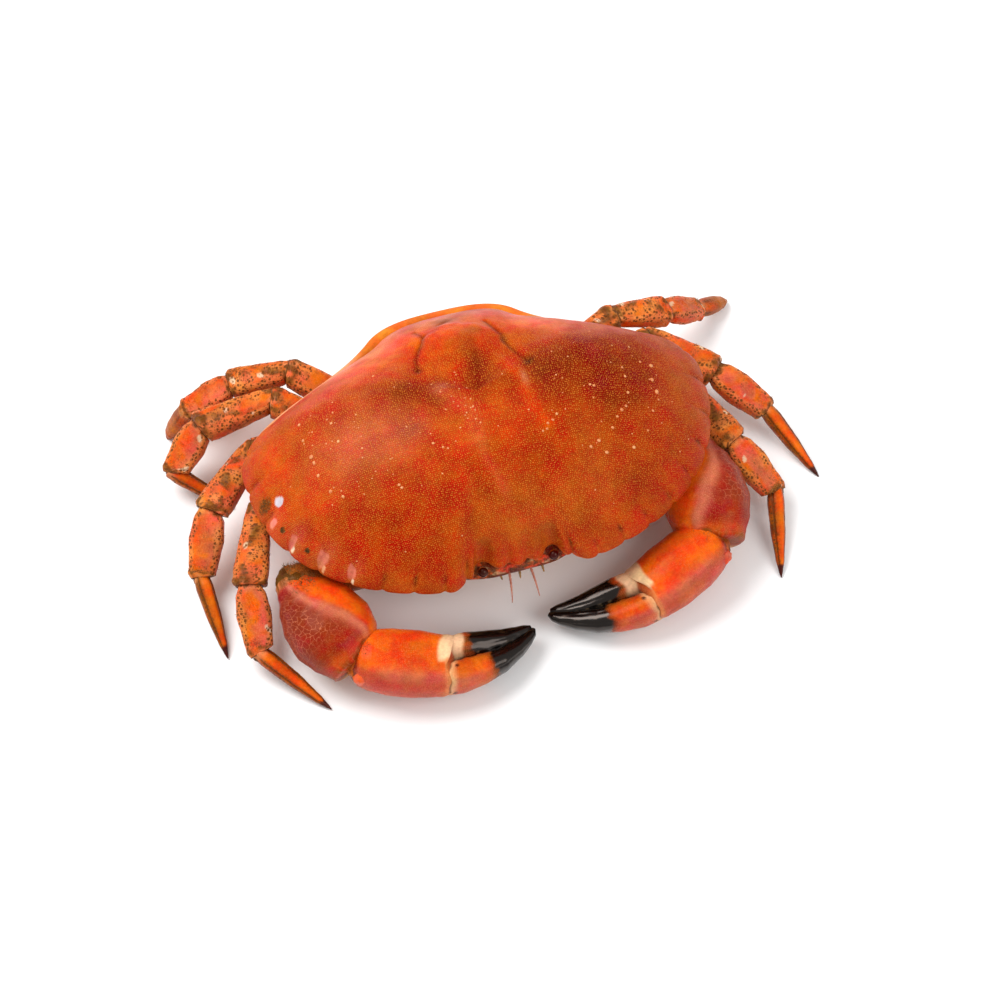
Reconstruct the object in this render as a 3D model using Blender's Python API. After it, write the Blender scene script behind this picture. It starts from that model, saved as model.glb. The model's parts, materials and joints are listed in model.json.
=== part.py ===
"""Cooked edible crab, resting on its underside with both claws folded in front of it.

The layout frame has the crab's own left on +X, its front on -Y and up on +Z, with the
midline at X = 0. Every length below is in millimetres for a shell 170 mm wide and grows
or shrinks with SHELL_WIDTH. At the end the whole crab is moved so that its bounding box
is centred over the origin and stands on Z = 0.
"""

import math

import bmesh
import bpy
from mathutils import Matrix, Vector

# ---------------------------------------------------------------- driving dimensions

SHELL_WIDTH = 0.170
DESIGN_WIDTH = 170.0
UNIT = SHELL_WIDTH / DESIGN_WIDTH

# Every limb segment stops this far short of the plane it shares with its neighbour.
JOINT_GAP = 0.2
# Share of a segment's radius by which its end runs on before that plane trims it.
MITRE_REACH = 0.6
# Edges bent more sharply than this stay crisp when the shading is smoothed.
SHARP_ANGLE = math.radians(40)

# Upper shell, seen from above: a squashed oval in front, a slanting flank behind.
SHELL_CENTRE_Y = 8.0
WIDEST_Y = 12.0
FRONT_REACH = 64.6
FRONT_POWER = 2.25
REAR_CORNER = (25.0, 60.5)
REAR_END_Y = 65.0
FRONT_TEETH = ((0.0, -46.4), (3.2, -44.6), (6.2, -45.9), (9.0, -44.4))
ORBIT_CENTRE = (12.9, -45.3)
ORBIT_RADIUS = 3.4
OUTER_ORBIT_TOOTH = (17.4, -47.4)
FIRST_NOTCH_X = 19.0
FRONT_LINE_Y = -46.0

# Scalloped edge.
LOBES = 9
FIRST_LOBE_WIDTH = 10.2
LOBE_GROWTH = 1.05
NOTCH_DEPTH = 1.7
LOBE_STATIONS = ((0.0, 1.0), (0.14, 0.3), (0.38, -0.15), (0.64, -0.15), (0.86, 0.3))
FLANK_STEPS = 11
REAR_STEPS = 5

# Upper shell, heights.
RIM_HEIGHT = 36.5
REAR_RIM_DROP = 2.5
DOME_HEIGHT = 31.0
DOME_POWER = 2.6
DOME_ROUNDNESS = 0.75
TOP_RINGS = (0.18, 0.36, 0.54, 0.71, 0.84, 0.93, 0.98)
UNDER_RINGS = ((0.985, 2.0), (0.93, 3.4), (0.72, 7.4), (0.54, 10.6))

# Lower body.
BODY_CENTRE_Y = 6.0
BODY_HALF_WIDTH = 35.0
BODY_HALF_LENGTH = 35.0
BODY_POWER = 2.6
BODY_LEVELS = ((1.6, 0.78), (3.4, 0.89), (9.0, 1.0), (25.4, 1.0))
BODY_SIDES = 40

# Tail flap: stations of (y, z, half width) from its front point round to the back.
FLAP_HALF_THICKNESS = 0.6
FLAP_STATIONS = (
    (-6.0, 0.6, 2.0),
    (-2.0, 0.6, 5.0),
    (9.0, 0.6, 9.0),
    (24.0, 0.6, 13.0),
    (36.0, 0.6, 14.0),
    (42.4, 3.2, 14.0),
    (44.4, 10.0, 13.5),
    (44.6, 22.0, 13.0),
)

# Mouth plates and face.
MOUTH_PLATE_LEVELS = (
    (11.0, 2.4, 1.2),
    (13.0, 4.2, 1.6),
    (19.0, 4.6, 1.8),
    (25.0, 4.0, 1.6),
    (28.0, 2.6, 1.2),
)
MOUTH_PLATE_X = 5.0
MOUTH_PLATE_Y = -31.6
EYE_RADIUS = 2.3
EYE_HEIGHT = 34.4
ANTENNA_ROOT = (5.2, -42.0, 29.6)
ANTENNA_LENGTH = 14.5
ANTENNA_RADIUS = 0.55
ANTENNA_STEPS = 6

# Walking legs, front pair first. Hips are (y, z) on the body's side; lengths are thigh,
# knee, shank and toe.
LEG_HIPS = ((-8.0, 17.0), (7.0, 17.0), (20.8, 15.5), (33.4, 18.0))
LEG_LENGTHS = ((51, 28, 24, 32), (50, 27, 24, 31), (45, 28, 20.5, 27), (42, 22, 19.5, 16))
LEG_THICKNESS = (1.0, 1.0, 0.95, 0.82)

# Heading and rise of each leg segment in degrees. A heading of 0 points straight out to
# the crab's side, 90 to its rear and -90 to its front.
LEG_POSES = {
    "left": (
        ((26, 10), (-64, -10), (-58, -29), (-103, -16)),
        ((38, 10), (-40, -12), (-46, -21), (-65, -21)),
        ((29, -4), (168, 0), (172, 0), (176, -4)),
        ((22, 15), (5, -21), (17, -36), (24, -30)),
    ),
    "right": (
        ((15, 10), (-69, -11), (-85, -24), (-130, -18)),
        ((28, 10), (-41, -10), (-66, -29), (-94, -16)),
        ((41, 13), (-3, -10), (-34, -28), (-145, -22)),
        ((40, 10), (7, -10), (-8, -20), (-1, -62)),
    ),
}
# A knee bent sharper than this is folded flat: the next segment lies under the last one.
FOLD_ANGLE = math.radians(130)
FOLD_DROP = 7.9

# Half width, half height and profile of each leg segment: (share of length, share of size).
LEG_SECTIONS = {
    "thigh": (6.2, 4.5, ((0, 0.78), (0.12, 0.95), (0.5, 1.0), (0.85, 0.95), (1, 0.74))),
    "knee": (5.7, 4.3, ((0, 0.72), (0.2, 0.9), (0.6, 1.0), (0.88, 1.0), (1, 0.86))),
    "shank": (6.0, 4.0, ((0, 0.72), (0.15, 0.95), (0.45, 1.0), (0.85, 0.8), (1, 0.64))),
    "toe": (3.1, 2.8, ((0, 0.9), (0.12, 1.0), (0.45, 0.86), (0.8, 0.5), (1, 0.12))),
}
LEG_SIDES = 10
SECTION_POWER = 2.4

# Claws: the arm comes from the body, the wrist block carries the palm.
CLAW_HIP = (-22.0, 18.0)
ARM_LENGTH = 52.0
WRIST_LENGTH = 35.0
PALM_LENGTH = 34.0
CLAW_POSES = {
    "left": ((12, 7), (-95, -11), (-157, -9)),
    "right": ((-4, 7), (-114, -11), (-163, -8)),
}
ARM_SECTION = (8.0, 7.0, ((0, 0.8), (0.15, 0.95), (0.5, 1.0), (0.8, 0.95), (1, 0.72)))
WRIST_SECTION = (15.5, 12.5, ((0, 0.42), (0.14, 0.62), (0.4, 0.93), (0.66, 1.0), (0.88, 0.86), (1, 0.62)))
CLAW_SIDES = 16

# Palm and fingers: (distance from the wrist, outward offset, half width, half height).
PALM_STATIONS = (
    (0.0, 0.0, 8.6, 8.0),
    (3.5, 0.0, 10.3, 9.0),
    (12.0, 0.2, 11.9, 9.9),
    (22.0, 0.2, 12.0, 9.8),
    (30.0, 0.0, 11.2, 9.0),
    (33.0, -0.2, 10.6, 8.5),
)
FIXED_FINGER_STATIONS = (
    (33.3, -6.0, 5.2, 6.9),
    (38.0, -7.6, 4.8, 6.2),
    (45.0, -9.9, 4.2, 5.2),
    (52.0, -12.6, 2.8, 4.0),
    (58.0, -15.6, 1.5, 2.4),
    (60.4, -17.0, 0.5, 0.8),
)
MOVABLE_FINGER_STATIONS = (
    (33.9, 4.6, 5.6, 7.4),
    (38.0, 3.6, 5.3, 6.9),
    (45.0, 0.4, 4.6, 5.6),
    (51.5, -3.6, 3.7, 4.6),
    (57.0, -8.6, 2.6, 3.4),
    (60.6, -13.2, 1.5, 2.0),
    (62.0, -16.2, 0.5, 0.8),
)

# Colour, roughness and metallic value of each finish.
FINISHES = {
    "upper_shell": ((0.52, 0.09, 0.022), 0.42, 0.0),
    "under_shell": ((0.72, 0.42, 0.20), 0.55, 0.0),
    "claw_shell": ((0.70, 0.13, 0.03), 0.38, 0.0),
    "leg_shell": ((0.60, 0.17, 0.05), 0.45, 0.0),
    "leg_toe": ((0.50, 0.19, 0.05), 0.48, 0.0),
    "eye": ((0.05, 0.03, 0.02), 0.15, 0.0),
    "feeler": ((0.62, 0.25, 0.19), 0.5, 0.0),
}


# ---------------------------------------------------------------- small geometry tools


def signed_power(value, exponent):
    return math.copysign(abs(value) ** exponent, value)


def superellipse(angle, half_x, half_y, power):
    """Point of a rounded box outline, from an ellipse at power 2 towards a box."""
    return (
        half_x * signed_power(math.cos(angle), 2 / power),
        half_y * signed_power(math.sin(angle), 2 / power),
    )


def smoothstep(low, high, value):
    share = min(max((value - low) / (high - low), 0.0), 1.0)
    return share * share * (3 - 2 * share)


def bezier(points, share):
    """Point of a cubic curve through its first and last control points."""
    rest = 1 - share
    weights = (rest**3, 3 * rest**2 * share, 3 * rest * share**2, share**3)
    return tuple(sum(w * p[axis] for w, p in zip(weights, points)) for axis in range(2))


def direction(side, heading, rise):
    """Unit vector of a limb segment on one side of the body."""
    outward = 1 if side == "left" else -1
    heading = math.radians(heading)
    rise = math.radians(rise)
    level = math.cos(rise)
    return Vector((outward * level * math.cos(heading), level * math.sin(heading), math.sin(rise)))


def joint_frame(start, end):
    """Matrix with its origin at start, X along the segment and Z as upright as it can be."""
    along = (end - start).normalized()
    across = Vector((0, 0, 1)).cross(along).normalized()
    upright = along.cross(across)
    frame = Matrix((along, across, upright)).transposed().to_4x4()
    return Matrix.Translation(start) @ frame


# ---------------------------------------------------------------- object building

crab = None


def finish(name):
    """Principled material of one named finish, made once."""
    material = bpy.data.materials.get(name)
    if material is None:
        colour, roughness, metallic = FINISHES[name]
        material = bpy.data.materials.new(name)
        material.use_nodes = True
        shader = material.node_tree.nodes["Principled BSDF"]
        shader.inputs["Base Color"].default_value = (*colour, 1)
        shader.inputs["Roughness"].default_value = roughness
        shader.inputs["Metallic"].default_value = metallic
        material.diffuse_color = (*colour, 1)
    return material


def add_object(name, shape, finish_name, frame):
    """Turn a bmesh in design millimetres into an object standing in its own frame."""
    bmesh.ops.recalc_face_normals(shape, faces=shape.faces)
    bmesh.ops.scale(shape, vec=(UNIT, UNIT, UNIT), verts=shape.verts)
    mesh = bpy.data.meshes.new(name)
    shape.to_mesh(mesh)
    shape.free()
    mesh.shade_smooth()
    mesh.set_sharp_from_angle(angle=SHARP_ANGLE)
    mesh.materials.append(finish(finish_name))
    item = bpy.data.objects.new(name, mesh)
    bpy.context.scene.collection.objects.link(item)
    item.parent = crab
    place = frame.copy()
    place.translation = frame.translation * UNIT
    item.matrix_basis = place
    return item


def loft(name, rings, finish_name, frame=Matrix()):
    """Closed skin through rings of points, grown by extruding a filled circle."""
    shape = bmesh.new()
    circle = bmesh.ops.create_circle(shape, cap_ends=True, segments=len(rings[0]), radius=1)
    edge = circle["verts"]
    for vertex, point in zip(edge, rings[0]):
        vertex.co = point
    shape.faces.ensure_lookup_table()
    end_face = shape.faces[0]
    for number, ring in enumerate(rings[1:]):
        grown = bmesh.ops.extrude_face_region(shape, geom=[end_face])["geom"]
        if number:
            bmesh.ops.delete(shape, geom=[end_face], context="FACES_ONLY")
        end_face = next(part for part in grown if isinstance(part, bmesh.types.BMFace))
        fresh = list(end_face.verts)
        edge = [min(fresh, key=lambda new: (new.co - old.co).length) for old in edge]
        for vertex, point in zip(edge, ring):
            vertex.co = point
    return add_object(name, shape, finish_name, frame)


def section_ring(centre, across, upright, half_width, half_height, sides, power=SECTION_POWER):
    """Rounded section of a limb around one point of its middle line."""
    ring = []
    for step in range(sides):
        angle = 2 * math.pi * (step + 0.5) / sides
        sideways, up = superellipse(angle, half_width, half_height, power)
        ring.append(centre + across * sideways + upright * up)
    return ring


# ---------------------------------------------------------------- upper shell


def front_margin(x):
    """Front edge without its lobes; it falls back between the eye sockets."""
    reach = (1 - (x / (DESIGN_WIDTH / 2)) ** FRONT_POWER) ** (1 / FRONT_POWER)
    oval = WIDEST_Y - FRONT_REACH * reach
    return FRONT_LINE_Y + (oval - FRONT_LINE_Y) * smoothstep(FIRST_NOTCH_X - 3, FIRST_NOTCH_X + 7, x)


def side_path():
    """Close-set points of the left edge, from the first notch round to the rear middle."""
    half = DESIGN_WIDTH / 2
    start = math.asin(FIRST_NOTCH_X / half)
    points = []
    for step in range(90):
        x = half * math.sin(start + (math.pi / 2 - start) * step / 90)
        points.append(Vector((x, front_margin(x))))
    corner_x, corner_y = REAR_CORNER
    flank = ((half, WIDEST_Y), (half, 35.0), (corner_x + 22, 41.0), (corner_x + 3, corner_y - 2))
    points += [Vector(bezier(flank, step / 60)) for step in range(60)]
    rear = ((corner_x + 3, corner_y - 2), (corner_x - 4, REAR_END_Y), (9.0, REAR_END_Y), (0.0, REAR_END_Y))
    points += [Vector(bezier(rear, step / 30)) for step in range(31)]
    return points


def point_at(path, distance):
    """Point of a path at a distance from its start, with the inward direction there."""
    for here, after in zip(path, path[1:]):
        step = (after - here).length
        if distance <= step or after is path[-1]:
            along = (after - here).normalized()
            inward = Vector((-along.y, along.x))
            return here + along * min(distance, step), inward
        distance -= step


def half_edge():
    """Smooth and lobed points of the left half of the shell's edge, front to rear."""
    smooth = []
    lobed = []
    for x, y in FRONT_TEETH:
        lobed.append(Vector((x, y)))
    orbit = Vector(ORBIT_CENTRE)
    for degrees in (180, 135, 90, 45, 0):
        angle = math.radians(degrees)
        lobed.append(orbit + ORBIT_RADIUS * Vector((math.cos(angle), math.sin(angle))))
    lobed.append(Vector(OUTER_ORBIT_TOOTH))
    smooth += [Vector((point.x, front_margin(point.x))) for point in lobed]

    path = side_path()
    length = sum((after - here).length for here, after in zip(path, path[1:]))
    travelled = 0.0
    width = FIRST_LOBE_WIDTH
    for _ in range(LOBES):
        for share, depth in LOBE_STATIONS:
            point, inward = point_at(path, travelled + share * width)
            smooth.append(point)
            lobed.append(point + inward * depth * NOTCH_DEPTH)
        travelled += width
        width *= LOBE_GROWTH
    last_notch, inward = point_at(path, travelled)
    smooth.append(last_notch)
    lobed.append(last_notch + inward * NOTCH_DEPTH * 0.7)
    remaining = length - travelled
    steps = FLANK_STEPS + REAR_STEPS
    for step in range(1, steps + 1):
        point, _ = point_at(path, travelled + remaining * step / steps)
        smooth.append(point)
        lobed.append(point)
    return smooth, lobed


def mirrored(half):
    """Whole closed edge from its left half, which starts and ends on the midline."""
    return half + [Vector((-point.x, point.y)) for point in reversed(half[1:-1])]


def rim_height(y):
    return RIM_HEIGHT - REAR_RIM_DROP * smoothstep(30, 60, y)


def swelling(x, y, centre_x, centre_y, spread_x, spread_y):
    return math.exp(-(((abs(x) - centre_x) / spread_x) ** 2) - ((y - centre_y) / spread_y) ** 2)


def region_relief(x, y):
    """Low swellings over the stomach, heart and gills, with furrows between them."""
    gills = 2.4 * swelling(x, y, 44, 10, 22, 24)
    stomach = 2.0 * swelling(x, y, 0, -14, 13, 14)
    heart = 2.2 * swelling(x, y, 0, 36, 12, 11)
    furrow = 1.2 * swelling(x, y, 17, 14, 5, 16)
    return gills + stomach + heart - furrow


def shell_ring(smooth, lobed, share, lobe_share, height):
    """One closed ring of the shell at a share of the way from its middle to its edge."""
    middle = Vector((0, SHELL_CENTRE_Y))
    ring = []
    for plain, scalloped in zip(smooth, lobed):
        edge = plain.lerp(scalloped, lobe_share)
        point = middle + (edge - middle) * share
        ring.append(Vector((point.x, point.y, height(share, point.x, point.y, edge.y))))
    return ring


def build_upper_shell():
    smooth_half, lobed_half = half_edge()
    smooth = mirrored(smooth_half)
    lobed = mirrored(lobed_half)

    def top_height(share, x, y, edge_y):
        crown = (1 - share**DOME_POWER) ** DOME_ROUNDNESS
        relief = region_relief(x, y) * smoothstep(0, 0.35, crown)
        return rim_height(edge_y) + DOME_HEIGHT * crown + relief

    rings = []
    for share in TOP_RINGS:
        rings.append(shell_ring(smooth, lobed, share, smoothstep(0.84, 0.98, share), top_height))
    rings.append(shell_ring(smooth, lobed, 1.0, 1.0, lambda share, x, y, edge_y: rim_height(edge_y) - 0.2))
    for share, drop in UNDER_RINGS:
        lobe_share = smoothstep(0.9, 0.985, share)

        def under_height(_, x, y, edge_y, drop=drop):
            deepest = RIM_HEIGHT - UNDER_RINGS[-1][1]
            return max(rim_height(edge_y) - drop, deepest)

        rings.append(shell_ring(smooth, lobed, share, lobe_share, under_height))
    loft("upper_shell", rings, "upper_shell")


# ---------------------------------------------------------------- lower body


def build_lower_body():
    rings = []
    for level, share in BODY_LEVELS:
        ring = []
        for step in range(BODY_SIDES):
            angle = 2 * math.pi * step / BODY_SIDES
            x, y = superellipse(angle, BODY_HALF_WIDTH * share, BODY_HALF_LENGTH * share, BODY_POWER)
            ring.append(Vector((x, BODY_CENTRE_Y + y, level)))
        rings.append(ring)
    loft("lower_body", rings, "under_shell")


def build_tail_flap():
    """Tail folded under the body; its straight stretch is the flat face the crab rests on."""
    rings = []
    places = [Vector((0, y, z)) for y, z, _ in FLAP_STATIONS]
    for index, (_, _, half_width) in enumerate(FLAP_STATIONS):
        before = places[max(index - 1, 0)]
        after = places[min(index + 1, len(places) - 1)]
        along = (after - before).normalized()
        if places[index].z == places[0].z:
            along = Vector((0, 1, 0))
        across = Vector((1, 0, 0))
        rings.append(
            section_ring(places[index], across, along.cross(across), half_width, FLAP_HALF_THICKNESS, 8, 6)
        )
    loft("tail_flap", rings, "under_shell")


def build_mouth_plate(side):
    outward = 1 if side == "left" else -1
    rings = []
    for level, half_width, half_depth in MOUTH_PLATE_LEVELS:
        centre = Vector((outward * MOUTH_PLATE_X, MOUTH_PLATE_Y, level))
        rings.append(section_ring(centre, Vector((1, 0, 0)), Vector((0, 1, 0)), half_width, half_depth, 10))
    loft(f"mouth_plate_{side}", rings, "under_shell")


def build_eye(side):
    outward = 1 if side == "left" else -1
    shape = bmesh.new()
    bmesh.ops.create_uvsphere(shape, u_segments=12, v_segments=7, radius=EYE_RADIUS)
    centre = Vector((outward * ORBIT_CENTRE[0], ORBIT_CENTRE[1] - 0.3, EYE_HEIGHT))
    add_object(f"eye_{side}", shape, "eye", Matrix.Translation(centre))


def build_antenna(side):
    """Thin feeler that leaves the face forwards and curls down."""
    outward = 1 if side == "left" else -1
    point = Vector((outward * ANTENNA_ROOT[0], ANTENNA_ROOT[1], ANTENNA_ROOT[2]))
    rings = []
    step_length = ANTENNA_LENGTH / ANTENNA_STEPS
    for step in range(ANTENNA_STEPS + 1):
        share = step / ANTENNA_STEPS
        droop = math.radians(-8 - 62 * share)
        along = Vector((outward * 0.12, -math.cos(droop), math.sin(droop))).normalized()
        across = Vector((1, 0, 0)).cross(along).cross(along).normalized()
        radius = ANTENNA_RADIUS * (1.15 - 0.85 * share)
        rings.append(section_ring(point, across, along.cross(across), radius, radius, 6, 2))
        point = point + along * step_length
    loft(f"antenna_{side}", rings, "feeler")


# ---------------------------------------------------------------- limbs


def hip_plane(hip):
    """Upright plane that touches the lower body's side where a limb leaves it."""
    x, y = hip.x, hip.y - BODY_CENTRE_Y
    slope_x = signed_power(x / BODY_HALF_WIDTH, BODY_POWER - 1) / BODY_HALF_WIDTH
    slope_y = signed_power(y / BODY_HALF_LENGTH, BODY_POWER - 1) / BODY_HALF_LENGTH
    return hip, Vector((slope_x, slope_y, 0)).normalized()


def limb_planes(joints, directions):
    """Start and end plane of every segment: touching the body, mitred at each bend."""
    planes = []
    start = hip_plane(joints[0][0])
    for index, (first, last) in enumerate(joints):
        along = directions[index]
        if index + 1 == len(directions):
            planes.append((start, (last, along)))
            continue
        following = directions[index + 1]
        if along.angle(following) > FOLD_ANGLE:
            planes.append((start, (last, along)))
            start = (joints[index + 1][0], following)
        else:
            bisector = (along + following).normalized()
            planes.append((start, (last, bisector)))
            start = (last, bisector)
    return planes


def walk_joints(side, hip, lengths, pose):
    """Start and end point and direction of every segment of a limb."""
    outward = 1 if side == "left" else -1
    y, z = hip
    share = abs((y - BODY_CENTRE_Y) / BODY_HALF_LENGTH)
    body_side = BODY_HALF_WIDTH * (1 - share**BODY_POWER) ** (1 / BODY_POWER)
    point = Vector((outward * body_side, y, z))
    joints = []
    directions = []
    for index, (length, (heading, rise)) in enumerate(zip(lengths, pose)):
        along = direction(side, heading, rise)
        if directions and directions[-1].angle(along) > FOLD_ANGLE:
            point = point - Vector((0, 0, FOLD_DROP))
        end = point + along * length
        joints.append((point, end))
        directions.append(along)
        point = end
    return joints, directions


def cut_to_planes(rings, frame, start_plane, end_plane):
    """Slide the points of a segment along it so that both ends lie on their planes."""
    to_local = frame.inverted()
    cuts = []
    for point, normal in (start_plane, end_plane):
        cuts.append((to_local @ point, to_local.to_3x3() @ normal))

    def reach(cut, vertex):
        point, normal = cut
        return point.x - (normal.y * (vertex.y - point.y) + normal.z * (vertex.z - point.z)) / normal.x

    ring_gap = 0.5
    ends = cuts[0][0].x, cuts[1][0].x
    for index, ring in enumerate(rings):
        to_end = len(rings) - 1 - index
        for vertex in ring:
            overrun = MITRE_REACH * math.hypot(vertex.y, vertex.z)
            low = reach(cuts[0], vertex) + JOINT_GAP / abs(cuts[0][1].x)
            high = reach(cuts[1], vertex) - JOINT_GAP / abs(cuts[1][1].x)
            low = max(low, ends[0] - overrun)
            high = min(high, ends[1] + overrun)
            if index == 0:
                vertex.x = low
            elif to_end == 0:
                vertex.x = high
            else:
                vertex.x = min(max(vertex.x, low + ring_gap * index), high - ring_gap * to_end)
    return rings


def profile_rings(length, section, sides):
    half_width, half_height, profile = section
    rings = []
    for share, size in profile:
        centre = Vector((share * length, 0, 0))
        across, upright = Vector((0, 1, 0)), Vector((0, 0, 1))
        rings.append(section_ring(centre, across, upright, half_width * size, half_height * size, sides))
    return rings


def build_leg(side, number):
    hip = LEG_HIPS[number - 1]
    lengths = LEG_LENGTHS[number - 1]
    thickness = LEG_THICKNESS[number - 1]
    joints, directions = walk_joints(side, hip, lengths, LEG_POSES[side][number - 1])
    planes = limb_planes(joints, directions)
    for (part, section), (start, end), (first, last) in zip(LEG_SECTIONS.items(), joints, planes):
        half_width, half_height, profile = section
        size = (half_width * thickness, half_height * thickness, profile)
        frame = joint_frame(start, end)
        rings = profile_rings((end - start).length, size, LEG_SIDES)
        rings = cut_to_planes(rings, frame, first, last)
        loft(f"leg_{side}_{number}_{part}", rings, "leg_toe" if part == "toe" else "leg_shell", frame)


def station_rings(stations, outward, sides):
    """Sections along a curved middle line that starts square to a limb's own X axis."""
    centres = [Vector((along, outward * aside, 0)) for along, aside, _, _ in stations]
    rings = []
    for index, (_, _, half_width, half_height) in enumerate(stations):
        ahead = centres[min(index + 1, len(centres) - 1)] - centres[max(index - 1, 0)]
        if index == 0:
            ahead = Vector((1, 0, 0))
        up = Vector((0, 0, 1))
        across = up.cross(ahead).normalized()
        rings.append(section_ring(centres[index], across, up, half_width, half_height, sides))
    return rings


def build_claw(side):
    lengths = (ARM_LENGTH, WRIST_LENGTH, PALM_LENGTH)
    joints, directions = walk_joints(side, CLAW_HIP, lengths, CLAW_POSES[side])
    planes = limb_planes(joints, directions)
    parts = (("arm", ARM_SECTION), ("wrist", WRIST_SECTION))
    for (part, section), (start, end), (first, last) in zip(parts, joints, planes):
        frame = joint_frame(start, end)
        rings = profile_rings((end - start).length, section, CLAW_SIDES)
        rings = cut_to_planes(rings, frame, first, last)
        loft(f"claw_{side}_{part}", rings, "claw_shell", frame)

    start, end = joints[2]
    frame = joint_frame(start, end)
    outward = 1 if side == "left" else -1
    hinge = (frame @ Vector((PALM_STATIONS[-1][0] + JOINT_GAP, 0, 0)), directions[2])
    palm = cut_to_planes(station_rings(PALM_STATIONS, outward, CLAW_SIDES), frame, planes[2][0], hinge)
    fixed_finger = station_rings(FIXED_FINGER_STATIONS, outward, CLAW_SIDES)
    movable_finger = station_rings(MOVABLE_FINGER_STATIONS, outward, CLAW_SIDES)
    loft(f"claw_{side}_palm", palm + fixed_finger, "claw_shell", frame)
    loft(f"claw_{side}_finger", movable_finger, "claw_shell", frame)


# ---------------------------------------------------------------- assembly


def stand_over_origin():
    """Move the whole crab so that its box is centred over the origin with its foot on Z = 0."""
    bpy.context.view_layer.update()
    corners = [
        item.matrix_world @ vertex.co
        for item in bpy.data.objects
        if item.type == "MESH"
        for vertex in item.data.vertices
    ]
    low = Vector(min(corner[axis] for corner in corners) for axis in range(3))
    high = Vector(max(corner[axis] for corner in corners) for axis in range(3))
    crab.location = (-(low.x + high.x) / 2, -(low.y + high.y) / 2, -low.z)


def main():
    global crab
    for item in list(bpy.data.objects):
        bpy.data.objects.remove(item)
    crab = bpy.data.objects.new("crab", None)
    bpy.context.scene.collection.objects.link(crab)

    build_upper_shell()
    build_lower_body()
    build_tail_flap()
    for side in ("left", "right"):
        build_mouth_plate(side)
        build_eye(side)
        build_antenna(side)
        build_claw(side)
        for number in range(1, len(LEG_HIPS) + 1):
            build_leg(side, number)
    stand_over_origin()


main()
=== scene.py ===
"""Cooked edible crab, resting on its underside with both claws folded in front of it.

Shapes are worked out in shell millimetres: the midline at X = 0, the shell's rear edge at
Y = 65, the front on -Y and the table at Z = 0. The shell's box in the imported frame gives
their size and place.
"""

import json
import math
import random

import bmesh
import bpy
from mathutils import Matrix, Vector, geometry, kdtree, noise

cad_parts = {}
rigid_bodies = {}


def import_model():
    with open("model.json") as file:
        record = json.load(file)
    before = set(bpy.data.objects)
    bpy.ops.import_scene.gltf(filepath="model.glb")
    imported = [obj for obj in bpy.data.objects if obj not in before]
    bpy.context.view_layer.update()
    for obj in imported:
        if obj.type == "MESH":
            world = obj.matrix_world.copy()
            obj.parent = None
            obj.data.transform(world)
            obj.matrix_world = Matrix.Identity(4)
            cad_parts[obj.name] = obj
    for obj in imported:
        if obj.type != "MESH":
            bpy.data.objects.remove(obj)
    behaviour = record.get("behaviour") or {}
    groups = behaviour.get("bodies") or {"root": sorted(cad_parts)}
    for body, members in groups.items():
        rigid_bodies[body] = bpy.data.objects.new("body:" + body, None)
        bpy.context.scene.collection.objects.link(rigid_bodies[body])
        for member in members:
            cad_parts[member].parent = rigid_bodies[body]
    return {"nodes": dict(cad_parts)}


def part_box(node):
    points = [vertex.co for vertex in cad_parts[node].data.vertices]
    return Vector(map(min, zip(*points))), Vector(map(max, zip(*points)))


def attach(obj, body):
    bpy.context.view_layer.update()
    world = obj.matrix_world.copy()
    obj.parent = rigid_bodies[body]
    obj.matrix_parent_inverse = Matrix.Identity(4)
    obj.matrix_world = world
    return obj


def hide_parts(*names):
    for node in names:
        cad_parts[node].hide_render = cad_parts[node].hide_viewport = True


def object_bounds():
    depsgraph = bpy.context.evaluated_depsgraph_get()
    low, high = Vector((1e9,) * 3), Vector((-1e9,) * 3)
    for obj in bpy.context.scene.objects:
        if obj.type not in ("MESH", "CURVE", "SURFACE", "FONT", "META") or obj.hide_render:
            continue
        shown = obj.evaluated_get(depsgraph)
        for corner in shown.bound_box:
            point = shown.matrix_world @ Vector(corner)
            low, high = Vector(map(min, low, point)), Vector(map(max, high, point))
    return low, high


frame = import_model()
start_low, start_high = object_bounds()

SHELL_LOW, SHELL_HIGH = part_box("upper_shell")
UNIT = (SHELL_HIGH.x - SHELL_LOW.x) / 170.6
ORIGIN = Vector(((SHELL_LOW.x + SHELL_HIGH.x) / 2, SHELL_HIGH.y - 65 * UNIT, SHELL_HIGH.z - 68.2 * UNIT))


def to_world(point):
    return ORIGIN + Vector(point) * UNIT


def to_shell(point):
    return (Vector(point) - ORIGIN) / UNIT


# ---------------------------------------------------------------- numbers and colours


def smoothstep(low, high, value):
    share = min(max((value - low) / (high - low), 0.0), 1.0)
    return share * share * (3 - 2 * share)


def bell(distance, width):
    return math.exp(-((distance / width) ** 2))


def ripple(point, size, seed=0):
    """Smooth noise from -1 to 1 whose lumps are about size across."""
    return noise.noise(Vector(point) / size + Vector((seed * 7.3, seed * 3.1, seed * 5.7)))


def signed_power(value, exponent):
    return math.copysign(abs(value) ** exponent, value)


def tone(red, green, blue):
    """Linear colour from values of 0 to 255, less the pale light that every surface mirrors."""
    straight = [((part / 255 + 0.055) / 1.055) ** 2.4 for part in (red, green, blue)]
    return Vector([max(part - pale, 0.0008) / LEVEL for part, pale in zip(straight, MIRRORED)])


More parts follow.
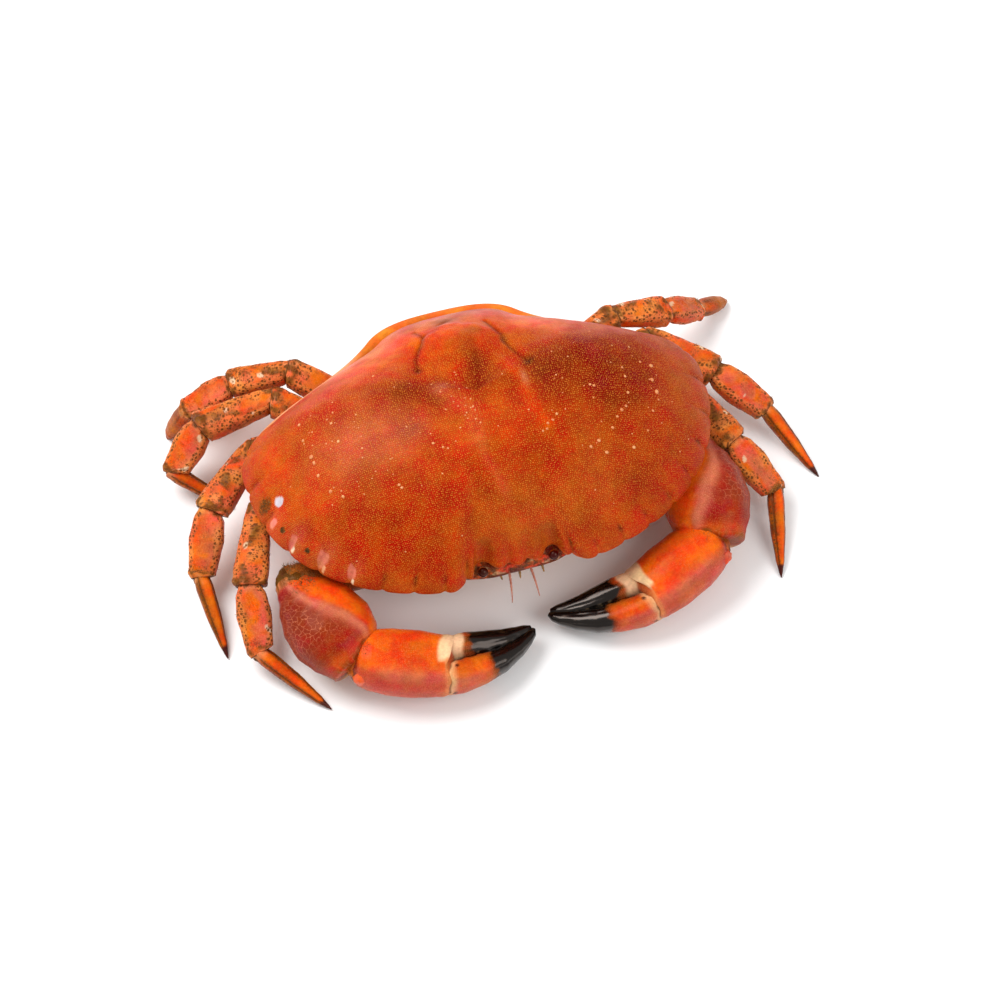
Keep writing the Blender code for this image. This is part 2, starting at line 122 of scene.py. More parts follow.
LEVEL = 1.3
MIRRORED = (0.004, 0.009, 0.0045)
PAINT = {
    "crust": tone(207, 71, 10),
    "rust": tone(181, 53, 10),
    "maroon": tone(142, 27, 8),
    "brown": tone(108, 32, 14),
    "spot": tone(62, 26, 14),
    "pink": tone(216, 112, 96),
    "sheen_mauve": tone(196, 110, 108),
    "coral": tone(232, 108, 78),
    "ember": tone(226, 84, 30),
    "flame": tone(250, 98, 8),
    "rose": tone(236, 136, 116),
    "orange": tone(244, 100, 8),
    "amber": tone(222, 110, 30),
    "sand": tone(208, 104, 42),
    "olive": tone(120, 84, 30),
    "lip": tone(244, 134, 48),
    "pale_lip": tone(246, 170, 124),
    "cream": tone(250, 208, 158),
    "peach": tone(246, 160, 104),
    "ivory": tone(247, 224, 190),
    "chalk": tone(214, 208, 218),
    "black": tone(14, 11, 11),
    "bark": tone(82, 46, 18),
    "plum": tone(74, 34, 28),
}


def mixed(first, second, share):
    return first.lerp(second, min(max(share, 0.0), 1.0))


# ---------------------------------------------------------------- node tools


def add_node(tree, kind, sockets=(), **settings):
    """Add a node; each socket gets a plain value or a link from another node's output."""
    made = tree.nodes.new("ShaderNode" + kind)
    for name, value in settings.items():
        setattr(made, name, value)
    for name, value in dict(sockets).items():
        if isinstance(value, bpy.types.NodeSocket):
            tree.links.new(value, made.inputs[name])
        else:
            made.inputs[name].default_value = value
    return made


def calc(tree, operation, first, second=0.0, clamp=False):
    node = add_node(tree, "Math", {0: first, 1: second}, operation=operation, use_clamp=clamp)
    return node.outputs[0]


def spread(tree, value, low, high, new_low=0.0, new_high=1.0, smooth=True):
    """Map a value from one span onto another, held at both ends."""
    sockets = {"Value": value, "From Min": low, "From Max": high, "To Min": new_low, "To Max": new_high}
    kind = "SMOOTHSTEP" if smooth else "LINEAR"
    return add_node(tree, "MapRange", sockets, interpolation_type=kind).outputs["Result"]


def blend(tree, share, first, second, mode="MIX"):
    made = add_node(tree, "Mix", {0: share, 6: first, 7: second}, data_type="RGBA", blend_type=mode)
    return made.outputs[2]


def attribute(tree, name):
    return add_node(tree, "Attribute", attribute_name=name)


def noise_at(tree, place, scale, detail=3.0, rough=0.55):
    sockets = {"Vector": place, "Scale": scale, "Detail": detail, "Roughness": rough}
    return add_node(tree, "TexNoise", sockets).outputs["Fac"]


def new_group(name, inputs, outputs):
    """Empty node group with named sockets, and its input and output nodes."""
    group = bpy.data.node_groups.new(name, "ShaderNodeTree")
    for label, kind in inputs:
        group.interface.new_socket(label, in_out="INPUT", socket_type="NodeSocket" + kind)
    for label, kind in outputs:
        group.interface.new_socket(label, in_out="OUTPUT", socket_type="NodeSocket" + kind)
    return group, group.nodes.new("NodeGroupInput"), group.nodes.new("NodeGroupOutput")


def use_group(tree, group, sockets):
    made = add_node(tree, "Group", node_tree=group)
    for name, value in sockets.items():
        if isinstance(value, bpy.types.NodeSocket):
            tree.links.new(value, made.inputs[name])
        else:
            made.inputs[name].default_value = value
    return made


def build_granule_group():
    """Small round grains set close together on a surface that is laid out flat."""
    group, taken, given = new_group(
        "Granules", (("Place", "Vector"), ("Spacing", "Float")), (("Dot", "Float"), ("Tint", "Float"))
    )
    over = add_node(group, "VectorMath", {0: taken.outputs["Place"]}, operation="DIVIDE")
    joined = add_node(group, "CombineXYZ", {axis: taken.outputs["Spacing"] for axis in "XYZ"})
    group.links.new(joined.outputs[0], over.inputs[1])
    cells = add_node(
        group, "TexVoronoi", {"Vector": over.outputs[0], "Scale": 1.0, "Randomness": 0.6},
        voronoi_dimensions="2D",
    )
    parts = add_node(group, "SeparateColor", {0: cells.outputs["Color"]})
    reach = spread(group, parts.outputs[0], 0.0, 1.0, 0.34, 0.46, False)
    share = calc(group, "DIVIDE", cells.outputs["Distance"], reach)
    dot = spread(group, share, 0.35, 1.0, 1.0, 0.0)
    group.links.new(dot, given.inputs["Dot"])
    group.links.new(parts.outputs[1], given.inputs["Tint"])
    return group


def build_pit_group():
    """Scattered round pits; Amount is the share of places that have one."""
    group, taken, given = new_group(
        "Pits", (("Place", "Vector"), ("Spacing", "Float"), ("Amount", "Float")), (("Pit", "Float"),)
    )
    over = add_node(group, "VectorMath", {0: taken.outputs["Place"]}, operation="DIVIDE")
    joined = add_node(group, "CombineXYZ", {axis: taken.outputs["Spacing"] for axis in "XYZ"})
    group.links.new(joined.outputs[0], over.inputs[1])
    cells = add_node(
        group, "TexVoronoi", {"Vector": over.outputs[0], "Scale": 1.0, "Randomness": 0.9},
        voronoi_dimensions="2D",
    )
    parts = add_node(group, "SeparateColor", {0: cells.outputs["Color"]})
    there = calc(group, "LESS_THAN", parts.outputs[0], taken.outputs["Amount"])
    size = spread(group, parts.outputs[1], 0.0, 1.0, 0.26, 0.46, False)
    share = calc(group, "DIVIDE", cells.outputs["Distance"], size)
    pit = calc(group, "MULTIPLY", spread(group, share, 0.55, 1.0, 1.0, 0.0), there)
    group.links.new(pit, given.inputs["Pit"])
    return group


def build_net_group():
    """Thin lines that run between uneven cells, like cracked glaze."""
    group, taken, given = new_group(
        "Net", (("Place", "Vector"), ("Spacing", "Float")), (("Line", "Float"), ("Cell", "Float"))
    )
    over = add_node(group, "VectorMath", {0: taken.outputs["Place"]}, operation="DIVIDE")
    joined = add_node(group, "CombineXYZ", {axis: taken.outputs["Spacing"] for axis in "XYZ"})
    group.links.new(joined.outputs[0], over.inputs[1])
    bent = add_node(group, "TexNoise", {"Vector": over.outputs[0], "Scale": 1.3, "Detail": 2.0})
    moved = add_node(
        group, "VectorMath", {0: bent.outputs["Color"], 1: over.outputs[0], 3: 0.5}, operation="ADD"
    )
    cells = add_node(
        group, "TexVoronoi", {"Vector": moved.outputs[0], "Scale": 1.0, "Randomness": 0.85},
        voronoi_dimensions="2D", feature="DISTANCE_TO_EDGE",
    )
    inner = add_node(
        group, "TexVoronoi", {"Vector": moved.outputs[0], "Scale": 1.0, "Randomness": 0.85},
        voronoi_dimensions="2D",
    )
    parts = add_node(group, "SeparateColor", {0: inner.outputs["Color"]})
    group.links.new(spread(group, cells.outputs["Distance"], 0.01, 0.065, 1.0, 0.0), given.inputs["Line"])
    group.links.new(parts.outputs[0], given.inputs["Cell"])
    return group


GRANULES = build_granule_group()
PITS = build_pit_group()
NET = build_net_group()


def crust_material(name, spacing, dot_paint, pit_spacing, rough, coat, bump):
    """Cooked shell: painted tone, fine grains, dark pits, a net of cracks and a fine bump.

    The marks "grain", "pits", "net" and "gloss" say how much of each a place has, and
    "flat" holds the surface laid out flat, in millimetres.
    """
    material = bpy.data.materials.new(name)
    material.use_nodes = True
    tree = material.node_tree
    shader = tree.nodes["Principled BSDF"]
    place = add_node(tree, "TexCoord").outputs["Object"]
    flat = attribute(tree, "flat").outputs["Vector"]
    paint = attribute(tree, "paint").outputs["Color"]
    grain = attribute(tree, "grain").outputs["Fac"]
    pits = attribute(tree, "pits").outputs["Fac"]
    net = attribute(tree, "net").outputs["Fac"]
    gloss = attribute(tree, "gloss").outputs["Fac"]

    clouds = noise_at(tree, place, 95.0, 5.0, 0.6)
    flecks = noise_at(tree, place, 900.0, 3.0, 0.6)
    cloudy = spread(tree, clouds, 0.3, 0.7, 0.84, 1.16)
    value = calc(tree, "MULTIPLY", cloudy, spread(tree, flecks, 0.3, 0.7, 0.9, 1.1))
    hue = spread(tree, noise_at(tree, place, 140.0, 4.0), 0.3, 0.7, 0.488, 0.512)
    tinted = add_node(tree, "HueSaturation", {"Color": paint, "Value": value, "Hue": hue}).outputs[0]

    grains = use_group(tree, GRANULES, {"Place": flat, "Spacing": spacing})
    ground = blend(tree, 1.0, tinted, (0.8, 0.5, 0.2, 1), "MULTIPLY")
    raised = blend(tree, spread(tree, grains.outputs["Tint"], 0.0, 1.0, 0.2, 0.72), tinted, (*dot_paint, 1))
    grained = blend(tree, grains.outputs["Dot"], ground, raised)
    coloured = blend(tree, grain, tinted, grained)

    cracks = use_group(tree, NET, {"Place": flat, "Spacing": 2.1})
    cell_tint = spread(tree, cracks.outputs["Cell"], 0.0, 1.0, 0.35, 0.95)
    cell = blend(tree, cell_tint, coloured, (0.2, 0.02, 0.008, 1))
    netted = blend(tree, calc(tree, "MULTIPLY", cracks.outputs["Line"], 0.75), cell, (0.56, 0.15, 0.07, 1))
    coloured = blend(tree, net, coloured, netted)

    big_pits = use_group(tree, PITS, {"Place": flat, "Spacing": pit_spacing, "Amount": 0.72})
    small_pits = use_group(tree, PITS, {"Place": flat, "Spacing": pit_spacing * 0.5, "Amount": 0.5})
    pit = calc(tree, "MAXIMUM", big_pits.outputs[0], calc(tree, "MULTIPLY", small_pits.outputs[0], 0.7))
    shown = calc(tree, "MULTIPLY", pit, spread(tree, pits, 0.08, 0.75))
    coloured = blend(tree, shown, coloured, (0.15, 0.045, 0.01, 1))
    tree.links.new(coloured, shader.inputs["Base Color"])

    smooth = calc(tree, "MULTIPLY", gloss, rough - 0.16)
    roughness = calc(tree, "SUBTRACT", spread(tree, clouds, 0.3, 0.7, rough + 0.07, rough - 0.07), smooth)
    roughness = calc(tree, "ADD", roughness, calc(tree, "MULTIPLY", shown, 0.25))
    tree.links.new(roughness, shader.inputs["Roughness"])

    height = calc(tree, "MULTIPLY", grains.outputs["Dot"], grain)
    height = calc(tree, "ADD", height, calc(tree, "MULTIPLY", flecks, 0.5))
    height = calc(tree, "SUBTRACT", height, calc(tree, "MULTIPLY", shown, 1.4))
    ridges = calc(tree, "MULTIPLY", cracks.outputs["Line"], net)
    height = calc(tree, "ADD", height, calc(tree, "MULTIPLY", ridges, 0.5))
    bumped = add_node(tree, "Bump", {"Height": height, "Strength": bump, "Distance": 0.00022})
    tree.links.new(bumped.outputs["Normal"], shader.inputs["Normal"])
    shine = calc(tree, "MULTIPLY", spread(tree, gloss, 0.5, 0.9), 0.6)
    tree.links.new(calc(tree, "ADD", shine, coat), shader.inputs["Coat Weight"])
    shader.inputs["Coat Roughness"].default_value = 0.2
    shader.inputs["Specular IOR Level"].default_value = 0.15
    shader.inputs["Specular Tint"].default_value = (1.0, 0.45, 0.16, 1)
    return material


BACK_CRUST = crust_material("back_crust", 0.76, tone(252, 152, 56), 1.6, 0.48, 0.0, 0.9)
CLAW_CRUST = crust_material("claw_crust", 0.5, tone(248, 150, 96), 1.5, 0.38, 0.06, 0.6)
LEG_CRUST = crust_material("leg_crust", 0.55, tone(250, 170, 106), 1.5, 0.42, 0.05, 0.7)
PALE_CRUST = crust_material("pale_crust", 0.7, tone(250, 226, 190), 1.9, 0.5, 0.06, 0.5)


def tissue_material(name, first, second, scale, rough, strength, coat=0.0):
    """Soft uneven material in two tones, for skins, hair, eyes and chips."""
    material = bpy.data.materials.new(name)
    material.use_nodes = True
    tree = material.node_tree
    shader = tree.nodes["Principled BSDF"]
    place = add_node(tree, "TexCoord").outputs["Object"]
    clouds = noise_at(tree, place, scale, 5.0, 0.65)
    share = spread(tree, clouds, 0.35, 0.65)
    tree.links.new(blend(tree, share, (*first, 1), (*second, 1)), shader.inputs["Base Color"])
    tree.links.new(spread(tree, clouds, 0.3, 0.7, rough - 0.08, rough + 0.08), shader.inputs["Roughness"])
    bumped = add_node(tree, "Bump", {"Height": clouds, "Strength": strength, "Distance": 0.0004})
    tree.links.new(bumped.outputs["Normal"], shader.inputs["Normal"])
    shader.inputs["Coat Weight"].default_value = coat
    return material


HAIR = tissue_material("hair", tone(112, 78, 30), tone(176, 128, 62), 700.0, 0.62, 0.2)
FEELER = tissue_material("feeler", tone(206, 132, 108), tone(176, 98, 70), 500.0, 0.5, 0.3)
CHALK = tissue_material("chalk", tone(240, 170, 104), tone(226, 118, 60), 900.0, 0.4, 0.3, 0.1)


# ---------------------------------------------------------------- mesh tools

MARKS = ("grain", "pits", "net", "gloss")


class Look:
    """Paint and marks of one place on a skin."""

    def __init__(self, paint, grain=0.0, pits=0.0, net=0.0, gloss=0.0):
        self.paint = paint
        self.values = (grain, pits, net, gloss)


def add_piece(name, shape, material):
    """Turn a bmesh in metres into a smooth object at the origin that rides on the body.

    No point of it goes below the surface that the crab stands on.
    """
    for vertex in shape.verts:
        vertex.co.z = max(vertex.co.z, start_low[2] + 0.0001)
    mesh = bpy.data.meshes.new(name)
    shape.to_mesh(mesh)
    shape.free()
    mesh.shade_smooth()
    mesh.materials.append(material)
    piece = bpy.data.objects.new(name, mesh)
    bpy.context.scene.collection.objects.link(piece)
    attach(piece, "root")
    return piece


def skin_part(shape, around, along, place_at):
    """Closed skin: a grid rolled round its first axis, with both ends drawn to a point."""
    layers = shape.verts.layers
    paint = layers.float_color.get("paint") or layers.float_color.new("paint")
    flat = layers.float_vector.get("flat") or layers.float_vector.new("flat")
    marks = [layers.float.get(mark) or layers.float.new(mark) for mark in MARKS]
    made = bmesh.ops.create_grid(shape, x_segments=around, y_segments=along, size=1)["verts"]
    for vertex in made:
        column = round((vertex.co.x + 1) / 2 * around)
        row = round((vertex.co.y + 1) / 2 * along)
        point, laid, look = place_at(column % around, column / around, row / along)
        vertex.co = to_world(point)
        vertex[flat] = laid
        vertex[paint] = (*look.paint, 1)
        for mark, value in zip(marks, look.values):
            vertex[mark] = value
    bmesh.ops.remove_doubles(shape, verts=made, dist=2e-6)


def skin(name, around, along, place_at, material):
    shape = bmesh.new()
    skin_part(shape, around, along, place_at)
    bmesh.ops.recalc_face_normals(shape, faces=shape.faces)
    return add_piece(name, shape, material)


# ---------------------------------------------------------------- upper shell

SHELL_MIDDLE = Vector((0, 8))
HALF_WIDTH = 85.0
WIDEST_Y = 12.0
FRONT_REACH = 64.6
FRONT_POWER = 2.25
FRONT_LINE_Y = -46.0
FIRST_NOTCH_X = 19.0
FRONT_LINE = (
    (0.0, -46.7), (1.6, -46.0), (3.2, -44.7), (4.7, -45.2), (6.2, -46.2), (7.7, -45.7), (9.0, -44.6),
    (9.7, -43.7), (10.7, -42.5), (12.9, -41.7), (15.1, -42.6), (16.1, -44.6), (17.2, -47.2), (19.0, -47.0),
)
LOBES = 9
FIRST_LOBE_WIDTH = 10.2
LOBE_GROWTH = 1.05
NOTCH_DEPTH = 0.7
LOBE_BULGE = 0.3
LOBE_STEPS = 24
LIP_SHARE = 0.068
FLANK_STEPS = 66
RIM_HEIGHT = 36.5
DOME_HEIGHT = 31.0
UNDER_LINE = ((1.0, 0.4), (0.985, 2.0), (0.93, 3.4), (0.72, 7.4), (0.54, 10.6), (0.3, 10.6), (0.0, 10.6))

# Raised or sunk lines on the shell: depth, half width, tone, strength, then the points.
SHELL_LINES = (
    (-0.7, 0.8, "brown", 0.75, ((-17.5, 24), (-16.3, 30.4), (-14.9, 33.7), (-11.6, 39.7), (-13.4, 44.6))),
    (-0.4, 0.7, "brown", 0.5, ((-11.6, 39.7), (-6.8, 41.5), (-4.9, 44.1), (-0.8, 46.5))),
    (
        -0.7, 0.9, "brown", 0.7,
        ((12.1, 41.4), (13.6, 37.0), (15.4, 33.5), (15.6, 29.4), (18, 22), (20.8, 16)),
    ),
    (
        0.5, 1.0, "coral", 0.6,
        ((-10, 38.5), (-5.9, 43.1), (0.9, 42.6), (4.1, 39.8), (7.8, 39.6), (11.0, 36.1)),
    ),
    (0.6, 2.4, "orange", 0.6, ((12.0, 19), (15.5, 12), (16.8, 7), (16.2, 0), (18.5, -6), (20, -11))),
    (0.7, 3.0, "coral", 0.5, ((-13, 13), (-8.5, 7), (-4.5, 1), (-4.2, -5), (-5, -12))),
    (0.5, 1.8, "coral", 0.4, ((-5, -12), (-3, -22), (0, -30))),
    (-0.5, 1.6, "brown", 0.3, ((5, 30), (4, 20), (2, 12))),
    (-0.35, 1.2, "rust", 0.5, ((-24, -12), (-12, -18), (-6, -30))),
    (-0.35, 1.2, "rust", 0.5, ((30, -16), (22, -22), (12, -32))),
)

# Broad patches of tone: x, y, reach across, reach along, tone, strength.
SHELL_PATCHES = (
    (-4, -22, 30, 12, "rust", 0.6),
    (-36, -28, 28, 12, "rust", 0.75),
    (-64, -14, 14, 16, "ember", 0.45),
    (-76, 12, 8, 20, "orange", 0.85),
    (-32, 40, 26, 14, "orange", 0.95),
    (30, 38, 20, 12, "orange", 0.95),
    (0, 38, 12, 10, "orange", 0.5),
    (-52, 28, 16, 8, "ember", 0.6),
    (47, 4, 25, 20, "maroon", 0.95),
    (42, 20, 18, 7, "maroon", 0.5),
    (74, 2, 7, 20, "sand", 0.8),
    (48, -27, 20, 12, "rust", 0.8),
    # Painted highlight: these pink patches and the mauve one on the left gill swelling stand in for soft
    # light reflected there.
    (-44, 0, 16, 12, "pink", 0.95),
    (-34, 4, 14, 9, "pink", 0.5),
    (-30, -4, 8, 6, "pink", 0.4),
    (-27, -1, 5.5, 3.2, "sheen_mauve", 0.7),
    (-25, 15, 11, 7, "brown", 0.62),
    (-14, 10, 6, 7, "brown", 0.75),
    (3, 20, 5, 11, "brown", 0.7),
    (1, 8, 4, 6, "maroon", 0.5),
    (25, 9, 9, 7, "brown", 0.8),
    (36, 14, 10, 5, "brown", 0.35),
    (48, -6.5, 6, 3, "brown", 0.35),
    (6, -6, 8, 14, "ember", 0.7),
    (-14, -16, 10, 9, "ember", 0.5),
    (33, -26, 6, 17, "sand", 0.7),
    (8, -37, 22, 8, "sand", 0.95),
    (0.5, 30, 4, 5, "olive", 0.45),
    (7, 36, 5, 3, "brown", 0.5),
    (-0.8, 47.2, 4, 2.5, "brown", 0.6),
    (-17.3, 24.2, 1.6, 1.5, "spot", 0.75),
    (20.8, 15.4, 2.4, 1.9, "spot", 0.95),
    (15.6, 29.4, 1.5, 2.0, "olive", 0.7),
    (-12, 12.5, 2.2, 1.6, "chalk", 0.35),
    (17.3, 8.5, 1.0, 3.0, "chalk", 0.6),
    (44, -33, 4, 3, "brown", 0.3),
    (-55, -22, 5, 4, "rust", 0.4),
    (-40, -30, 4, 3, "brown", 0.35),
    (-79, -9.5, 3.6, 4.5, "coral", 0.85),
    (-73.5, -19, 3.5, 3.8, "pink", 0.95),
    (-65.5, -28.5, 3.8, 3.2, "pink", 0.9),
    (-57, -36.5, 3.4, 2.4, "pink", 0.8),
)

# Worn places with a crisp edge: x, y, reach, tone.
SHELL_CHIPS = (
    (-75.6, -4.6, 1.7, "chalk"),
    (-75.2, -20.5, 1.0, "ivory"),
    (-79.4, -10.0, 1.5, "rose"),
    (-74.6, -18.4, 1.9, "rose"),
    (-66.2, -28.6, 2.3, "rose"),
    (-57.6, -36.2, 1.8, "rose"),
    (-66.8, -31.0, 0.9, "pale_lip"),
    (-58.5, -38.2, 0.8, "ivory"),
)
SHELL_HAIRY = ((-80.2, -2.6, 2.5), (-77.0, -13.8, 0.9), (-70.6, -24.0, 0.8))


def front_margin(x):
    """Front edge without its lobes; it falls back between the eye sockets."""
    reach = (1 - (x / HALF_WIDTH) ** FRONT_POWER) ** (1 / FRONT_POWER)
    oval = WIDEST_Y - FRONT_REACH * reach
    return FRONT_LINE_Y + (oval - FRONT_LINE_Y) * smoothstep(FIRST_NOTCH_X - 3, FIRST_NOTCH_X + 7, x)


def bezier(points, share):
    rest = 1 - share
    weights = (rest**3, 3 * rest**2 * share, 3 * rest * share**2, share**3)
    return Vector([sum(w * p[axis] for w, p in zip(weights, points)) for axis in range(2)])


def smooth_line(points, steps):
    """Points of a smooth line through the given ones, steps to a stretch."""
    spots = [Vector(point) for point in points]
    line = []
    for index in range(len(spots) - 1):
        before = spots[max(index - 1, 0)]
        here, ahead = spots[index], spots[index + 1]
        after = spots[min(index + 2, len(spots) - 1)]
        for step in range(steps):
            t = step / steps
            line.append(
                0.5 * (2 * here + (ahead - before) * t + (2 * before - 5 * here + 4 * ahead - after) * t * t
                       + (3 * here - before - 3 * ahead + after) * t**3)
            )
    line.append(spots[-1])
    return line


def side_path():
    """Close-set points of the left edge, from the first notch round to the rear middle."""
    start = math.asin(FIRST_NOTCH_X / HALF_WIDTH)
    points = []
    for step in range(200):
        x = HALF_WIDTH * math.sin(start + (math.pi / 2 - start) * step / 200)
        points.append(Vector((x, front_margin(x))))
    flank = ((HALF_WIDTH, WIDEST_Y), (HALF_WIDTH, 35.0), (47.0, 41.0), (28.0, 58.5))
    points += [bezier(flank, step / 120) for step in range(120)]
    rear = ((28.0, 58.5), (21.0, 65.0), (9.0, 65.0), (0.0, 65.0))
    points += [bezier(rear, step / 60) for step in range(61)]
    return points


class Edge:
    """One column of the shell: its edge point, plain and lobed, and its nearest notch."""

    def __init__(self, plain, lobed, notch_gap, bead, notch=0):
        self.plain = plain
        self.lobed = lobed
        self.notch_gap = notch_gap
        self.bead = bead
        self.notch = notch
        chance = random.Random(notch * 17 + 5)
        self.crease = chance.uniform(0.25, 1.0)
        self.crease_start = 1 - chance.uniform(1.8, 3.4) / (plain - SHELL_MIDDLE).length

    def mirrored(self):
        plain, lobed = Vector((-self.plain.x, self.plain.y)), Vector((-self.lobed.x, self.lobed.y))
        return Edge(plain, lobed, self.notch_gap, self.bead, -self.notch)


def shell_columns():
    """Every column of the shell's skin, once round from the front middle."""
    columns = []
    for point in smooth_line(FRONT_LINE, 3)[:-1]:
        columns.append(Edge(Vector((point.x, front_margin(point.x))), point, 99.0, 0.0))
    path = side_path()
    travelled = [0.0]
    for here, after in zip(path, path[1:]):
        travelled.append(travelled[-1] + (after - here).length)

    def at(distance):
        index = max(1, next((i for i, t in enumerate(travelled) if t >= distance), len(path) - 1))
        before, after = path[index - 1], path[index]
        share = (distance - travelled[index - 1]) / (travelled[index] - travelled[index - 1])
        along = (after - before).normalized()
        return before.lerp(after, min(share, 1.0)), Vector((-along.y, along.x))

    start, width = 0.0, FIRST_LOBE_WIDTH
    for lobe in range(LOBES):
        for step in range(LOBE_STEPS):
            even = step / LOBE_STEPS
            share = even * 0.45 + (0.5 - 0.5 * math.cos(math.pi * even)) * 0.55
            gap = min(share, 1 - share) * width
            point, inward = at(start + share * width)
            depth = NOTCH_DEPTH * bell(gap, 1.15) - LOBE_BULGE * (1 - (2 * share - 1) ** 2)
            columns.append(Edge(point, point + inward * depth, gap, 0.0, lobe + 1 + round(share)))
        start += width
        width *= LOBE_GROWTH
    remaining = travelled[-1] - start
    for step in range(FLANK_STEPS + 1):
        walked = remaining * (step / FLANK_STEPS) ** 1.15
        point, inward = at(start + walked)
        depth = NOTCH_DEPTH * bell(walked, 1.3) * 0.7
        bead = smoothstep(6, 16, walked) * (0.28 + 0.72 * smoothstep(46, 60, point.y))
        columns.append(Edge(point, point + inward * depth, walked, bead, LOBES + 1))
    return columns + [edge.mirrored() for edge in reversed(columns[1:-1])]


COLUMNS = shell_columns()


def line_distance(x, y, points):
    best = 1e9
    for (ax, ay), (bx, by) in zip(points, points[1:]):
        dx, dy = bx - ax, by - ay
        share = min(max(((x - ax) * dx + (y - ay) * dy) / (dx * dx + dy * dy), 0.0), 1.0)
        best = min(best, math.hypot(x - ax - dx * share, y - ay - dy * share))
    return best


def swelling(x, y, centre_x, centre_y, spread_x, spread_y):
    return math.exp(-(((abs(x) - centre_x) / spread_x) ** 2) - ((y - centre_y) / spread_y) ** 2)


def shell_relief(x, y):
    """Low swellings over the stomach, heart and gills, with furrows and lumps between them."""
    gills = 2.4 * swelling(x, y, 44, 10, 22, 24)
    stomach = 2.0 * swelling(x, y, 0, -14, 13, 14)
    heart = 2.2 * swelling(x, y, 0, 36, 12, 11)
    furrow = 1.5 * swelling(x, y, 17, 14, 5, 16)
    brow = 0.9 * swelling(x, y, 27, -30, 8, 7) - 0.6 * swelling(x, y, 14, -28, 4, 8)
    lumps = 0.35 * ripple((x, y, 0), 9, 1) + 0.16 * ripple((x, y, 0), 3.6, 2)
    return gills + stomach + heart - furrow + brow + lumps


def lip_width(edge):
    """Width of the raised lip that runs along the rear of the edge."""
    return LIP_SHARE * edge.bead * (edge.plain - SHELL_MIDDLE).length


def shell_look(x, y, share, edge, inset):
    """Paint and marks of a place on the shell's upper side."""
    wander = Vector((ripple((x, y, 0), 8, 3), ripple((x, y, 0), 8, 4)))
    drift = wander * 3.2 + Vector((ripple((x, y, 0), 2.5, 5), ripple((x, y, 0), 2.5, 6))) * 0.8
    px, py = x + drift.x, y + drift.y
    cloud = ripple((x, y, 0), 17, 27) + 0.5 * ripple((x, y, 0), 7, 28)
    paint = mixed(PAINT["crust"], PAINT["sand"], 0.35 * smoothstep(0.0, 0.6, cloud))
    paint = mixed(paint, PAINT["rust"], 0.5 * smoothstep(0.0, 0.6, -cloud))
    for cx, cy, reach_x, reach_y, name, strength in SHELL_PATCHES:
        gap = ((px - cx) / reach_x) ** 2 + ((py - cy) / reach_y) ** 2
        if reach_x < 7 and reach_y < 7:
            gap = ((x + drift.x * 0.25 - cx) / reach_x) ** 2 + ((y + drift.y * 0.25 - cy) / reach_y) ** 2
        if gap < 5:
            paint = mixed(paint, PAINT[name], strength * math.exp(-gap))
    grain = 0.95 - 0.6 * smoothstep(20, 40, y + 4 * wander.x)
    for _, width, name, strength, points in SHELL_LINES:
        if abs(x) < 34:
            near = bell(line_distance(x + drift.x * 0.3, y + drift.y * 0.3, points), width)
            if near > 0.02:
                paint = mixed(paint, PAINT[name], strength * near)
    pits = 0.0
    rim = smoothstep(0.9, 0.985, share)
    paint = mixed(paint, PAINT["ember"], 0.35 * rim)
    start = edge.crease_start
    near = edge.notch_gap + 0.25 * wander.x
    crease = bell(near, 0.42) * smoothstep(start, start + 0.012, share)
    tissue = bell(near, 0.95) * smoothstep(start + 0.012, start + 0.028, share)
    paint = mixed(paint, PAINT["lip"], 0.8 * tissue * smoothstep(-0.5, 0.3, ripple((x, y, 0), 2, 7)))
    fading = 0.8 - 0.6 * smoothstep(0.955, 0.985, share)
    paint = mixed(paint, PAINT["spot"], edge.crease * crease * fading)
    dot = bell(math.hypot(edge.notch_gap, (share - start) * 75), 0.9)
    paint = mixed(paint, PAINT["spot"], 0.7 * dot * edge.crease)
    if edge.bead:
        width = lip_width(edge)
        # Painted highlight: the lit top of the rear lip is painted as a pale orange band.
        highlight_band = 1 - smoothstep(width * 0.85, width * 1.05, inset)
        tint = mixed(PAINT["pale_lip"], PAINT["lip"], smoothstep(0.4, 0.9, edge.bead))
        paint = mixed(paint, PAINT["orange"], 0.6 * (1 - smoothstep(width, width * 2.2, inset)) * edge.bead)
        paint = mixed(paint, tint, 0.9 * highlight_band)
        # Painted shade: the groove just inside the lip is painted brown.
        paint = mixed(paint, PAINT["brown"], 0.6 * bell(inset - width * 1.05, 0.35))
        grain *= 1 - highlight_band
    for cx, cy, reach, name in SHELL_CHIPS:
        gap = math.hypot(x - cx + drift.x * 0.25, y - cy + drift.y * 0.3) / reach
        ragged = gap + 0.25 * ripple((x, y, 0), 1.5, 19)
        chip = (1 - smoothstep(0.75, 1.05, ragged)) * (0.95 if reach < 1.8 else 0.7)
        paint = mixed(paint, PAINT[name], chip)
        grain *= 1 - chip
    for cx, cy, reach in SHELL_HAIRY:
        gap = math.hypot(x - cx, y - cy) / reach
        patch = 1 - smoothstep(0.6, 1.1, gap + 0.3 * wander.x)
        pits = max(pits, patch)
        paint = mixed(paint, PAINT["olive"], 0.65 * patch)
    gloss = 0.25 * smoothstep(28, 46, y) + 0.2 * rim
    return Look(paint, max(grain, 0.0), pits, 0.0, gloss)


def under_line(turn):
    """Share and drop along the turned-in underside, from the edge to its middle."""
    spot = turn * (len(UNDER_LINE) - 1)
    index = min(int(spot), len(UNDER_LINE) - 2)
    first, second = UNDER_LINE[index], UNDER_LINE[index + 1]
    rest = spot - index
    return tuple(a + (b - a) * rest for a, b in zip(first, second))


